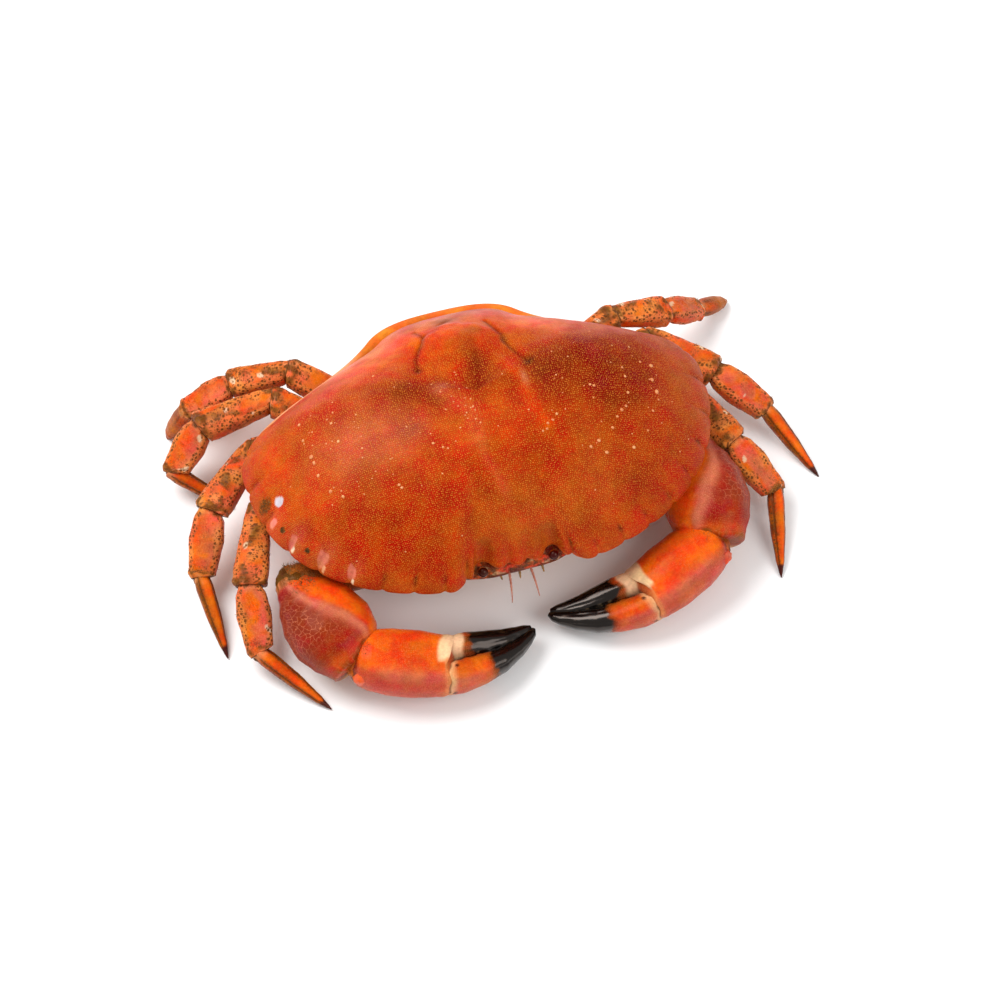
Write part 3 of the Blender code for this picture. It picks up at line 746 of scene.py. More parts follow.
def shell_place(column, _, row):
    edge = COLUMNS[column]
    top = 0.82
    if row <= top:
        climb = row / top
        share = 1 - (1 - climb) ** 1.55
        lobe_share = smoothstep(0.86, 0.985, share)
        drop = 0.0
    else:
        share, drop = under_line((row - top) / (1 - top))
        lobe_share = smoothstep(0.9, 0.985, share)
    rim_point = edge.plain.lerp(edge.lobed, lobe_share)
    point = SHELL_MIDDLE + (rim_point - SHELL_MIDDLE) * share
    reach = (rim_point - SHELL_MIDDLE).length
    inset = reach * (1 - share)
    rim = RIM_HEIGHT - 2.5 * smoothstep(30, 60, rim_point.y)
    x, y = point
    outward = (rim_point - SHELL_MIDDLE).normalized()
    if row > top:
        height = max(rim - drop, RIM_HEIGHT - 10.6)
        if share > 0.72:
            height -= 0.25 * bell(edge.notch_gap, 1.2) * smoothstep(0.72, 0.98, share)
        near_rim = smoothstep(0.86, 1.0, share) + 0.25 * ripple((x, y, 0), 6, 8)
        paint = mixed(PAINT["peach"], PAINT["lip"], near_rim)
        paint = mixed(paint, PAINT["ember"], smoothstep(0.95, 1.0, share) * 0.8)
        paint = mixed(paint, PAINT["cream"], 0.6 * smoothstep(0.75, 0.55, share))
        length = reach + 24 + (1 - share) * reach
        return Vector((x, y, height)), Vector((*(outward * length), 0)), Look(paint, 0.25, 0.12, 0.0, 0.1)
    crown = (1 - min(share * (1 + 1.07 * LIP_SHARE * edge.bead), 1.0) ** 2.6) ** 0.75
    height = rim + DOME_HEIGHT * crown + shell_relief(x, y) * smoothstep(0, 0.35, crown)
    if abs(x) < 34:
        for depth, width, _, _, points in SHELL_LINES:
            near = bell(line_distance(x, y, points), width)
            if near > 0.02:
                height += depth * near * (1 + 0.5 * ripple((x, y, 0), 1.8, 9))
    start = edge.crease_start
    height -= 0.35 * bell(edge.notch_gap, 0.45) * smoothstep(start, start + 0.02, share)
    puff = 0.0
    if edge.notch_gap < 20:
        puff = 0.2 * (1 - bell(edge.notch_gap, 2.4)) * smoothstep(0.93, 0.965, share)
    height += puff * (1 - smoothstep(0.97, 1.0, share))
    if edge.bead:
        width = lip_width(edge)
        height += 0.9 * edge.bead * bell(inset - width * 0.5, width * 0.45)
    length = share * reach + 20 * (1 - crown) ** 1.5
    laid = Vector((*(outward * length), 0))
    return Vector((x, y, height)), laid, shell_look(x, y, share, edge, inset)


upper_shell = skin("upper_shell_crust", len(COLUMNS), 128, shell_place, BACK_CRUST)
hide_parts("upper_shell")


# ---------------------------------------------------------------- limb joints from the frame


def unique_points(name):
    vertices = frame["nodes"][name].data.vertices
    spots = {tuple(round(c, 6) for c in vertex.co): vertex.co for vertex in vertices}
    return [to_shell(point) for point in spots.values()]


def tree_of(points):
    tree = kdtree.KDTree(len(points))
    for index, point in enumerate(points):
        tree.insert(point, index)
    tree.balance()
    return tree


def meeting(first, second, reach=1.6):
    """Middle of the place where two frame nodes face each other, or None if they don't."""
    one, two = unique_points(first), unique_points(second)
    one_tree, two_tree = tree_of(one), tree_of(two)
    near = [p for p in one if two_tree.find(p)[2] < reach] + [p for p in two if one_tree.find(p)[2] < reach]
    return sum(near, Vector()) / len(near) if len(near) >= 6 else None


def far_end(name, away_from, count):
    """Middle of the end ring of a frame node that lies farthest from a point."""
    points = sorted(unique_points(name), key=lambda point: -(point - away_from).length)[:count]
    return sum(points, Vector()) / len(points)


def middle_of(name):
    """Mean of a frame node's points, which lies on the limb segment's middle line."""
    points = unique_points(name)
    return sum(points, Vector()) / len(points)


def limb_joints(names, sides):
    """Start and end point of every node along a limb.

    The first bend is sharp, so its joint is where the two segments' middle lines cross.
    """
    meetings = [meeting(a, b) for a, b in zip(names, names[1:])]
    joints = []
    for index, name in enumerate(names):
        middle = middle_of(name)
        start = meetings[index - 1] if index else None
        end = meetings[index] if index < len(meetings) else None
        onward = middle + (middle - joints[-1][1] if joints else middle)
        start = start or far_end(name, end or onward, sides)
        end = end or far_end(name, start, sides)
        joints.append((start, end))
    if meetings[0]:
        first, second = middle_of(names[0]), middle_of(names[1])
        crossing = geometry.intersect_line_line(joints[0][0], first, joints[1][1], second)
        knee = (crossing[0] + crossing[1]) / 2
        joints[0] = (joints[0][0], knee)
        joints[1] = (knee, joints[1][1])
    return joints


def limb_frame(start, end):
    """Matrix with its origin at start, X along the segment and Z as upright as it can be."""
    along = (end - start).normalized()
    across = Vector((0, 0, 1)).cross(along).normalized()
    turned = Matrix((along, across, along.cross(across))).transposed().to_4x4()
    return Matrix.Translation(start) @ turned


def along_stations(stations, share):
    """Values between stations, eased so that a limb's outline has no corners."""
    for first, second in zip(stations, stations[1:]):
        if share <= second[0]:
            rest = (share - first[0]) / (second[0] - first[0])
            rest = rest * rest * (3 - 2 * rest) * 0.5 + rest * 0.5
            return [a + (b - a) * rest for a, b in zip(first[1:], second[1:])]
    return list(stations[-1][1:])


def segment_place(
    start, end, before, after, stations, dress, power=2.4, start_cap=2.2, end_cap=0.8, lean=0.62
):
    """Function that places the skin of one limb segment between two joints."""
    frame_matrix = limb_frame(start, end)
    rotation = frame_matrix.to_3x3()
    along = rotation @ Vector((1, 0, 0))
    length = (end - start).length
    planes = []
    for other in (before, after):
        if other is None or (along + other).normalized().dot(along) < 0.55:
            planes.append(Vector((1, 0, 0)))
        else:
            planes.append(rotation.transposed() @ (along + other).normalized())
    cap_rows = 0.06

    def place_at(_, turn, row):
        share = min(max((row - cap_rows) / (1 - 2 * cap_rows), 0.0), 1.0)
        angle = 2 * math.pi * turn
        wide, high = along_stations(stations, share)
        side = signed_power(math.cos(angle), 2 / power)
        up = signed_power(math.sin(angle), 2 / power)
        lift, look = dress(share, angle, share * length)
        shrink, push = 1.0, 0.0
        if row < cap_rows:
            turned = math.pi / 2 * row / cap_rows
            shrink, push = math.sin(turned), -start_cap * math.cos(turned)
        elif row > 1 - cap_rows:
            turned = math.pi / 2 * (1 - row) / cap_rows
            shrink, push = math.sin(turned) ** 0.6, end_cap * math.cos(turned)
        size = 1 + lift / math.hypot(wide * side, high * up)
        y = wide * side * size * shrink
        z = high * up * size * shrink
        limit = lean * math.hypot(y, z)
        first, last = [min(max(-(p.y * y + p.z * z) / p.x, -limit), limit) for p in planes]
        x = share * length
        if first > 0:
            x = max(x, first + 0.2 * x)
        else:
            x += first * max(0.0, 1 - share / 0.2) ** 2
        if last < 0:
            x = min(x, length + last - 0.2 * (1 - share) * length)
        else:
            x += last * max(0.0, 1 - (1 - share) / 0.2) ** 2
        point = frame_matrix @ Vector((x + push, y, z))
        girth = (wide + high) / 2
        return point, Vector((share * length, angle * girth, 0)), look

    return place_at


# ---------------------------------------------------------------- walking legs

LEG_PROFILES = {
    "thigh": (
        (0, 4.8, 3.5), (0.12, 5.8, 4.2), (0.5, 6.3, 4.6),
        (0.82, 6.1, 4.5), (0.95, 5.4, 4.2), (1, 4.3, 3.4),
    ),
    "knee": (
        (0, 3.9, 3.2), (0.14, 4.8, 3.8), (0.5, 5.6, 4.3),
        (0.82, 6.3, 4.7), (0.95, 5.9, 4.5), (1, 4.8, 3.7),
    ),
    "shank": (
        (0, 3.9, 3.0), (0.14, 5.5, 3.8), (0.42, 6.2, 4.2),
        (0.8, 5.2, 3.6), (0.93, 4.7, 3.3), (1, 3.5, 2.5),
    ),
    "toe": (
        (0, 2.8, 2.5), (0.12, 3.15, 2.8), (0.45, 2.75, 2.4),
        (0.8, 1.6, 1.4), (0.93, 0.8, 0.75), (1, 0.25, 0.25),
    ),
}
BLUNT_TOE = (
    (0, 3.5, 3.1), (0.25, 3.9, 3.3), (0.6, 3.6, 3.1),
    (0.85, 2.7, 2.4), (0.95, 1.9, 1.7), (1, 1.2, 1.1),
)
LEG_GIRTH = (1.0, 1.0, 0.97, 0.92)
CORNERS = tuple(math.radians(degrees) for degrees in (34, 146, 214, 326))


def angle_gap(first, second):
    return abs((first - second + math.pi) % (2 * math.pi) - math.pi)


def toe_dress(seed, viewer, blunt):
    """Surface of a toe: a bright rib between two dark channels, and a dark tip."""

    def dress(share, angle, millimetres):
        spot = Vector((millimetres, math.cos(angle) * 4, math.sin(angle) * 4 + seed * 31))
        patchy, fine = ripple(spot, 5, 11), ripple(spot, 1.6, 12)
        gap = angle_gap(angle, viewer)
        rib = bell(gap, 0.5)
        channel = bell(gap - 0.78, 0.16)
        paint = mixed(PAINT["bark"], PAINT["amber"], 0.5 + 0.5 * patchy)
        paint = mixed(paint, mixed(PAINT["flame"], PAINT["amber"], 0.35), 0.97 * rib)
        paint = mixed(paint, PAINT["bark"], 0.85 * channel)
        paint = mixed(paint, PAINT["peach"], 0.7 * bell(share, 0.06) * smoothstep(-0.3, 0.2, patchy))
        if blunt:
            olive = mixed(PAINT["amber"], PAINT["olive"], 0.45 + 0.5 * patchy)
            paint = mixed(paint, olive, 0.8 * smoothstep(0.05, 0.5, share))
            return 0.15 * patchy, Look(paint, 0.25, 0.35, 0.0, 0.2)
        tip = smoothstep(0.84, 0.88, share + 0.02 * fine)
        paint = mixed(paint, PAINT["plum"], tip)
        lift = (0.3 * rib - 0.3 * channel + 0.06 * fine) * (1 - smoothstep(0.8, 1, share))
        pits = 0.8 * (1 - rib) * (1 - tip) * smoothstep(0.0, 0.12, share)
        return lift, Look(paint, 0.15 * (1 - tip), pits, 0.0, 0.25 + 0.35 * tip)

    return dress


def leg_dress(part, seed, viewer):
    """Surface of a leg segment; viewer is the angle of the side with the pink flat."""
    top = math.pi / 2

    def dress(share, angle, millimetres):
        spot = Vector((millimetres, math.cos(angle) * 5, math.sin(angle) * 5 + seed * 31))
        patchy, fine = ripple(spot, 6, 11), ripple(spot, 1.7, 12)
        blotch = ripple(spot, 3.4, 15)
        corner = max(bell(angle_gap(angle, c), 0.4) for c in CORNERS)
        flat_face = bell(angle_gap(angle, viewer), 0.6)
        top_face = bell(angle_gap(angle, top), 0.9)
        under = smoothstep(0.2, 0.95, -math.sin(angle))
        spotted = smoothstep(0.2, 0.55, corner + 0.5 * patchy)
        if part in ("knee", "thigh"):
            spotted = max(spotted, top_face * smoothstep(-0.35, 0.15, patchy + 0.2 * blotch))
            flat_face *= 0.35
        scar_line = top + 0.35 * math.sin(share * 4 + seed * 2)
        scar = bell(angle_gap(angle, scar_line), 0.3) * smoothstep(-0.15, 0.25, blotch)
        scar *= 1.0 if part in ("knee", "thigh") else 0.25
        paint = mixed(PAINT["orange"], PAINT["amber"], 0.35 + 0.6 * patchy)
        paint = mixed(paint, PAINT["ember"], 0.5 * smoothstep(0.0, 0.5, blotch))
        paint = mixed(paint, PAINT["coral"], flat_face * smoothstep(-0.45, 0.1, blotch))
        paint = mixed(paint, mixed(PAINT["peach"], PAINT["amber"], 0.5), 0.6 * spotted)
        paint = mixed(paint, PAINT["peach"], 0.7 * under)
        paint = mixed(paint, mixed(PAINT["bark"], PAINT["olive"], 0.5 + fine), 0.85 * scar)
        far = smoothstep(0.88, 0.95, share + 0.03 * blotch)
        near = 1 - smoothstep(0.04, 0.1, share + 0.04 * blotch)
        knuckle = max(far * smoothstep(-0.25, 0.1, ripple(spot, 2.6, 17)), near)
        paint = mixed(paint, mixed(PAINT["peach"], PAINT["amber"], 0.5 + fine), 0.6 * knuckle)
        tuft = smoothstep(-0.15, 0.2, ripple(spot, 3.0, 18)) * max(smoothstep(0.86, 0.93, share), near)
        paint = mixed(paint, mixed(PAINT["olive"], PAINT["bark"], 0.4 + fine), 0.85 * tuft)
        chip = smoothstep(0.56, 0.62, ripple(spot, 3.6, 16) + 0.1 * fine)
        chip *= smoothstep(0.1, 0.6, math.sin(angle))
        paint = mixed(paint, PAINT["ivory"], 0.75 * chip)
        paint = mixed(paint, PAINT["bark"], 0.9 * smoothstep(0.988, 1.0, share))
        lift = 0.32 * corner + 0.1 * fine + 0.22 * patchy + 0.4 * scar * (0.6 + fine)
        lift += 0.25 * far * (1 + 2 * blotch) * (1 - smoothstep(0.97, 1.0, share))
        pits = max(spotted, scar, tuft) * (1 - 0.6 * under)
        return lift, Look(paint, 0.3 * (1 - spotted), pits, 0.0, 0.25 * flat_face)

    return dress


def build_leg(side, number):
    """Four skins of one walking leg, each in place of its frame node."""
    names = [f"leg_{side}_{number}_{part}" for part in LEG_PROFILES]
    joints = limb_joints(names, 10)
    directions = [(end - start).normalized() for start, end in joints]
    joined = [(joints[index][1] - joints[index + 1][0]).length < 3 for index in range(3)]
    size = LEG_GIRTH[number - 1]
    for index, (part, profile) in enumerate(LEG_PROFILES.items()):
        start, end = joints[index]
        before = directions[index - 1] if index and joined[index - 1] else None
        after = directions[index + 1] if index < 3 and joined[index] else None
        blunt = part == "toe" and number == 4
        outline = BLUNT_TOE if blunt else profile
        stations = [(share, wide * size, high * size) for share, wide, high in outline]
        seen = limb_frame(start, end).to_3x3().transposed() @ Vector((0.25, -0.55, 0.8))
        viewer = math.atan2(seen.z, seen.y)
        seed = number + (10 if side == "left" else 20) + index * 0.37
        dress = toe_dress(seed, viewer, blunt) if part == "toe" else leg_dress(part, seed, viewer)
        caps = (2.0, 0.2 if not blunt else 1.0) if part == "toe" else (2.8 * size, -0.5)
        place_at = segment_place(start, end, before, after, stations, dress, 2.5, *caps, 0.4)
        piece = skin(f"{names[index]}_crust", 60, 84, place_at, LEG_CRUST)
        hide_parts(names[index])
    return joints


leg_joints = {}
for side in ("left", "right"):
    for number in range(1, 5):
        leg_joints[side, number] = build_leg(side, number)


# ---------------------------------------------------------------- claws

ARM_PROFILE = ((0, 6.4, 5.6), (0.15, 7.6, 6.6), (0.5, 8.0, 7.0), (0.8, 7.6, 6.6), (1, 6.0, 5.2))
WRIST_PROFILE = (
    (0, 6.6, 5.4), (0.08, 8.2, 6.6), (0.2, 11.4, 9.2), (0.4, 14.6, 11.8),
    (0.64, 15.6, 12.6), (0.84, 14.0, 11.3), (0.95, 11.6, 9.4), (1, 10.2, 8.2),
)
FINGER_BASE = (33.9, 4.6)
FIXED_TIP = (60.4, -17.0)
PALM_STATIONS = (
    (0.0, 0.0, 7.6, 7.0), (1.6, 0.0, 9.4, 8.3), (5.0, 0.0, 10.7, 9.3),
    (12.0, 0.2, 11.9, 9.9), (22.0, 0.2, 12.0, 9.8),
    (29.0, 0.0, 11.3, 9.1), (33.0, -0.2, 10.6, 8.5), (33.4, -2.6, 8.6, 8.0), (33.8, -5.4, 5.9, 7.2),
    (36.0, -6.9, 5.1, 6.6), (40.0, -8.1, 5.1, 6.0), (45.0, -9.6, 4.8, 5.2), (52.0, -12.2, 3.8, 4.0),
    (57.0, -14.8, 2.7, 2.8), (60.2, -16.8, 1.9, 2.0), (61.8, -18.0, 0.9, 1.1),
)
FINGER_STATIONS = (
    (32.2, 4.8, 4.9, 6.6), (34.0, 4.6, 5.6, 7.5), (38.0, 3.6, 5.4, 7.0),
    (45.0, 0.2, 5.1, 5.7), (51.5, -3.9, 4.5, 4.7),
    (57.0, -8.9, 3.4, 3.5), (60.4, -13.0, 2.6, 2.6), (62.3, -15.6, 1.8, 1.9), (63.0, -17.4, 0.9, 1.0),
)


def claw_dress(part, outward, seed):
    """Surface of a claw's arm or wrist; angle 0 of a claw is its outer side."""

    def dress(share, angle, millimetres):
        turned = angle if outward > 0 else math.pi - angle
        turned = (turned + math.pi / 2) % (2 * math.pi) - math.pi / 2
        degrees = math.degrees(turned)
        spot = Vector((millimetres, math.cos(angle) * 14, math.sin(angle) * 14 + seed * 37))
        patchy = ripple(spot, 9, 21)
        fine = ripple(spot, 2.4, 22)
        degrees += 9 * patchy - 62 * (share - 0.5)
        lift = 0.35 * patchy + 0.08 * fine
        inner = smoothstep(94, 106, degrees)
        # Painted highlight: the pink band along the top of the wrist stands in for soft light reflected
        # there; the grain follows it.
        highlight_band = bell(degrees - 92, 9)
        net = smoothstep(-60, -34, degrees) * (1 - smoothstep(62, 88, degrees))
        lower = 1 - smoothstep(-84, -50, degrees)
        paint = mixed(PAINT["maroon"], PAINT["rust"], 0.3 + 0.5 * patchy)
        paint = mixed(paint, PAINT["rose"], 0.8 * highlight_band)
        paint = mixed(paint, PAINT["flame"], 0.97 * inner)
        paint = mixed(paint, PAINT["coral"], 0.7 * lower)
        paint = mixed(paint, PAINT["cream"], 0.75 * (1 - smoothstep(-84, -45, degrees)))
        net *= smoothstep(0.06, 0.16, share) * (1 - smoothstep(0.62, 0.86, share + 0.1 * patchy))
        near = 1 - smoothstep(0.0, 0.07, share + 0.02 * fine)
        warm_end = 0.6 * smoothstep(0.86, 0.98, share) * smoothstep(-60, 20, degrees)
        paint = mixed(paint, PAINT["ember"], warm_end)
        grown = mixed(PAINT["olive"], PAINT["peach"], 0.45 + 0.9 * fine)
        paint = mixed(paint, grown, 0.8 * near)
        rim = bell(1 - share, 0.025)
        paint = mixed(paint, PAINT["olive"], 0.6 * rim * smoothstep(-0.3, 0.3, fine))
        lift += 0.5 * rim
        if part == "arm":
            paint = mixed(PAINT["olive"], PAINT["bark"], 0.4 + fine)
            paint = mixed(paint, PAINT["sand"], 0.4 + 0.6 * patchy)
            net = 0.0
        grain = 0.4 + 0.25 * highlight_band
        return lift, Look(paint, grain, 0.0, 0.9 * net, 0.25 + 0.3 * inner)

    return dress


def palm_frame(finger_base, tip, outward):
    """Matrix of a claw, worked out from its movable finger's base and its fixed finger's tip."""
    reach, aside = FIXED_TIP[0] - FINGER_BASE[0], outward * (FIXED_TIP[1] - FINGER_BASE[1])
    gap = tip - finger_base
    rise = math.asin(gap.z / reach)
    heading = math.atan2(gap.y, gap.x) - math.atan2(aside, reach * math.cos(rise))
    along = Vector((math.cos(heading) * math.cos(rise), math.sin(heading) * math.cos(rise), math.sin(rise)))
    across = Vector((0, 0, 1)).cross(along).normalized()
    turned = Matrix((along, across, along.cross(across))).transposed().to_4x4()
    start = finger_base - along * FINGER_BASE[0] - across * outward * FINGER_BASE[1]
    return Matrix.Translation(start) @ turned


def finger_look(u, degrees, patchy, fine, dark_from, inner_side):
    """Paint and gloss of a claw's palm and fingers at u millimetres from the wrist."""
    top = smoothstep(38, 62, degrees) * (1 - smoothstep(150, 185, degrees))
    ridge = bell(degrees - 46, 14)
    under = 1 - smoothstep(-80, -35, degrees) + smoothstep(205, 240, degrees)
    paint = mixed(PAINT["rust"], PAINT["coral"], 0.55 + 0.35 * patchy)
    paint = mixed(paint, PAINT["flame"], 0.97 * top)
    paint = mixed(paint, PAINT["ember"], 0.35 * top * smoothstep(0.0, 0.4, patchy))
    # Painted highlight: the pink line along the blunt ridge stands in for soft light reflected there.
    paint = mixed(paint, PAINT["pink"], 0.6 * ridge * smoothstep(4, 12, u))
    paint = mixed(paint, PAINT["peach"], 0.55 * min(under, 1))
    paint = mixed(paint, PAINT["bark"], 0.8 * (1 - smoothstep(-0.4, 1.2, u + 0.5 * fine)))
    paint = mixed(paint, PAINT["amber"], 0.6 * smoothstep(dark_from - 8, dark_from - 2, u))
    if inner_side:
        mottled = smoothstep(-0.1, 0.35, fine + 0.4 * patchy) * smoothstep(dark_from - 9, dark_from - 3, u)
        paint = mixed(paint, PAINT["olive"], 0.75 * mottled)
    dark = smoothstep(dark_from - 0.8, dark_from + 1.0, u + 1.6 * patchy + 0.8 * fine)
    paint = mixed(paint, PAINT["bark"], 0.6 * bell(u + 1.6 * patchy - dark_from, 1.6))
    return mixed(paint, PAINT["black"], dark), dark


def curved_place(matrix, outward, stations, dress, bend_from, power=2.3, start_cap=1.5, end_cap=0.3):
    """Function that places a skin along a curved line of stations in a claw's own frame."""
    lengths = [0.0]
    for first, second in zip(stations, stations[1:]):
        lengths.append(lengths[-1] + math.hypot(second[0] - first[0], second[1] - first[1]))
    shares = [(length / lengths[-1], *station) for length, station in zip(lengths, stations)]
    cap_rows = 0.04

    def centre_at(share):
        return along_stations(shares, share)

    def place_at(_, turn, row):
        share = min(max((row - cap_rows) / (1 - 2 * cap_rows), 0.0), 1.0)
        u, v, wide, high = centre_at(share)
        ahead, behind = centre_at(min(share + 0.015, 1)), centre_at(max(share - 0.015, 0))
        lean = math.atan2(ahead[1] - behind[1], max(ahead[0] - behind[0], 0.01))
        lean *= smoothstep(bend_from, bend_from + 7, u)
        angle = 2 * math.pi * turn
        side = signed_power(math.cos(angle), 2 / power)
        up = signed_power(math.sin(angle), 2 / power)
        lift, push_more, look = dress(u, angle, share)
        shrink, push = 1.0, 0.0
        if row < cap_rows:
            turned = math.pi / 2 * row / cap_rows
            shrink, push = math.sin(turned), -start_cap * math.cos(turned)
        elif row > 1 - cap_rows:
            turned = math.pi / 2 * (1 - row) / cap_rows
            shrink, push = math.sin(turned), end_cap * math.cos(turned)
        size = (1 + lift / math.hypot(wide * side, high * up)) * shrink
        across, upward = wide * side * size, high * up * size
        forward = push + push_more
        x = u - math.sin(lean) * across + math.cos(lean) * forward
        y = v + math.cos(lean) * across + math.sin(lean) * forward
        point = matrix @ Vector((x, outward * y, upward))
        return point, Vector((share * lengths[-1], angle * (wide + high) / 2, 0)), look

    return place_at


def palm_dress(seed):
    def dress(u, angle, share):
        degrees = math.degrees((angle + math.pi / 2) % (2 * math.pi) - math.pi / 2)
        spot = Vector((u, math.cos(angle) * 10, math.sin(angle) * 10 + seed * 41))
        patchy, fine = ripple(spot, 7, 31), ripple(spot, 2.2, 32)
        paint, dark = finger_look(u, degrees, patchy, fine, 39.6, True)
        patch = smoothstep(28.0, 29.4, u + 2.2 * patchy) * (1 - smoothstep(36.8, 38.4, u + 1.2 * patchy))
        patch *= max(smoothstep(78, 88, degrees + 12 * fine + 8 * patchy), smoothstep(33.6, 34.2, u))
        paint = mixed(paint, PAINT["cream"], 0.95 * patch)
        step = smoothstep(32.6, 33.2, u) * (1 - smoothstep(34.0, 35.5, u))
        facing = bell(angle_gap(angle, 0), 1.1)
        paint = mixed(paint, PAINT["bark"], 0.7 * facing * (1 - dark) * max(step, smoothstep(36, 38, u)))
        paint = mixed(paint, PAINT["peach"], 0.6 * bell(u - 32.4, 0.9) * (1 - patch))
        ridge = 0.5 * bell(degrees - 46, 12) * smoothstep(2, 10, u) * (1 - smoothstep(28, 34, u))
        lift = 0.2 * patchy + 0.05 * fine + ridge
        lift += 0.35 * bell(u - 31.8, 1.3) * (1 - step)
        if u > 36:
            biting = bell(angle_gap(angle, 0), 0.5)
            teeth = max(0.0, math.sin(u * 1.35 + seed)) * smoothstep(37, 40, u)
            teeth *= 1 - smoothstep(55, 59, u)
            lift += 0.75 * teeth * biting
            groove = bell(degrees - 112, 10) + bell(degrees - 70, 8) + bell(degrees + 60, 10)
            lift -= 0.14 * groove * smoothstep(39, 44, u) * (1 - smoothstep(54, 59, u))
            nick = biting * smoothstep(0.25, 0.5, fine) * dark
            paint = mixed(paint, PAINT["cream"], 0.7 * nick)
        wave = 0.9 * math.sin(3 * angle + 0.6) + 0.5 * math.sin(7 * angle + seed)
        push = wave * bell(u - 33.0, 1.6)
        look = Look(paint, 0.45 * (1 - dark) * (1 - patch), 0.0, 0.0, 0.3 + 0.65 * dark)
        return lift, push, look

    return dress


def finger_dress(seed):
    def dress(u, angle, share):
        degrees = math.degrees((angle + math.pi / 2) % (2 * math.pi) - math.pi / 2)
        spot = Vector((u, math.cos(angle) * 8, math.sin(angle) * 8 + seed * 43))
        patchy, fine = ripple(spot, 7, 33), ripple(spot, 2.2, 34)
        paint, dark = finger_look(u, degrees, patchy, fine, 47.5, False)
        base = 1 - smoothstep(33.6, 36.6, u + 1.2 * patchy)
        paint = mixed(paint, PAINT["cream"], 0.75 * base)
        paint = mixed(paint, PAINT["bark"], 0.8 * (1 - smoothstep(32.8, 33.8, u + 0.4 * fine)))
        facing = bell(angle_gap(angle, math.pi), 0.95) * smoothstep(34, 36, u)
        paint = mixed(paint, PAINT["bark"], 0.85 * facing * (1 - dark))
        for hole in (100, -8):
            gap = math.hypot(u - 35.4, (degrees - hole) * 0.11)
            paint = mixed(paint, PAINT["spot"], 0.9 * (1 - smoothstep(0.5, 1.0, gap)))
        lift = 0.12 * patchy + 0.05 * fine
        biting = bell(angle_gap(angle, math.pi), 0.5)
        teeth = max(0.0, math.sin(u * 1.3 + seed * 2)) * smoothstep(38, 41, u) * (1 - smoothstep(56, 60, u))
        lift += 0.75 * teeth * biting
        groove = bell(degrees - 100, 9) + bell(degrees - 45, 9) + bell(degrees + 20, 9)
        lift -= 0.14 * groove * smoothstep(42, 48, u) * (1 - smoothstep(56, 60, u))
        nick = biting * smoothstep(0.2, 0.45, fine) * dark
        paint = mixed(paint, PAINT["cream"], 0.7 * nick)
        wave = 0.9 * math.sin(3 * angle + 0.6) + 0.5 * math.sin(7 * angle + seed)
        push = wave * (1 - smoothstep(33, 36, u))
        return lift, push, Look(paint, 0.4 * (1 - dark), 0.0, 0.0, 0.3 + 0.65 * dark)

    return dress


def build_claw(side):
    """Arm, wrist, palm and movable finger of one claw, each in place of its frame node."""
    outward = 1 if side == "left" else -1
    seed = 1.3 if side == "left" else 2.6
    names = [f"claw_{side}_{part}" for part in ("arm", "wrist", "palm", "finger")]
    joints = limb_joints(names[:3], 16)
    wrist_end = joints[1][1]
    tip = far_end(names[2], wrist_end, 16)
    nearest = sorted(unique_points(names[3]), key=lambda point: point.dot(tip - wrist_end))[:16]
    matrix = palm_frame(sum(nearest, Vector()) / 16, tip, outward)
    palm_way = matrix.to_3x3() @ Vector((1, 0, 0))
    directions = [(end - start).normalized() for start, end in joints[:2]] + [palm_way]
    for index, (part, profile) in enumerate((("arm", ARM_PROFILE), ("wrist", WRIST_PROFILE))):
        start, end = joints[index]
        before = directions[index - 1] if index else None
        dress = claw_dress(part, outward, seed)
        after = directions[index + 1]
        place_at = segment_place(start, end, before, after, profile, dress, 2.3, 3.0, 1.6, 0.16)
        piece = skin(f"{names[index]}_crust", 104, 112, place_at, CLAW_CRUST)
        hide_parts(names[index])
    palm_place = curved_place(matrix, outward, PALM_STATIONS, palm_dress(seed), 35.0)
    finger_place = curved_place(matrix, outward, FINGER_STATIONS, finger_dress(seed), 33.0)
    for name, place_at, along in ((names[2], palm_place, 190), (names[3], finger_place, 130)):
        piece = skin(f"{name}_crust", 96, along, place_at, CLAW_CRUST)
        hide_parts(name)
    return joints, matrix


claw_joints = {}
claw_frames = {}
for side in ("left", "right"):
    claw_joints[side], claw_frames[side] = build_claw(side)


# ---------------------------------------------------------------- lower body

BODY_MIDDLE_Y = 6.0
BODY_HALF = 35.0
BODY_LEVELS = ((0, 25.6, 1.0), (0.45, 10.0, 1.0), (0.68, 3.6, 0.9), (0.78, 1.8, 0.79), (1.0, 1.3, 0.0))


def body_place(_, turn, row):
    """Breastplate: level at the top, rounded below, with seams that run out to the hips."""
    angle = 2 * math.pi * turn
    if row < 0.14:
        level, share = 25.6, row / 0.14
    else:
        level, share = along_stations(BODY_LEVELS, (row - 0.14) / 0.86)
    x = BODY_HALF * share * signed_power(math.cos(angle), 2 / 2.6)
    y = BODY_HALF * share * signed_power(math.sin(angle), 2 / 2.6)
    seams = min(abs(y - seam - 0.12 * abs(x)) for seam in (-24, -10, 3, 17, 29))
    seam = bell(seams, 0.8) * smoothstep(8, 14, abs(x))
    patchy = ripple((x, y, level), 7, 41)
    below = smoothstep(0.3, 0.6, row)
    shrink = 1 - 0.02 * seam * (1 - below)
    level += 0.5 * seam * below
    paint = mixed(PAINT["cream"], PAINT["peach"], 0.45 + 0.45 * patchy + 0.2 * (1 - below))
    paint = mixed(paint, PAINT["amber"], 0.5 * seam)
    look = Look(paint, 0.2, 0.25 * smoothstep(0.1, 0.6, patchy), 0.0, 0.15)
    laid = Vector((x, y, 0)) * (1 + (25.6 - level) / BODY_HALF)
    return Vector((x * shrink, BODY_MIDDLE_Y + y * shrink, level)), laid, look


lower_body = skin("lower_body_crust", 160, 96, body_place, PALE_CRUST)
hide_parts("lower_body")

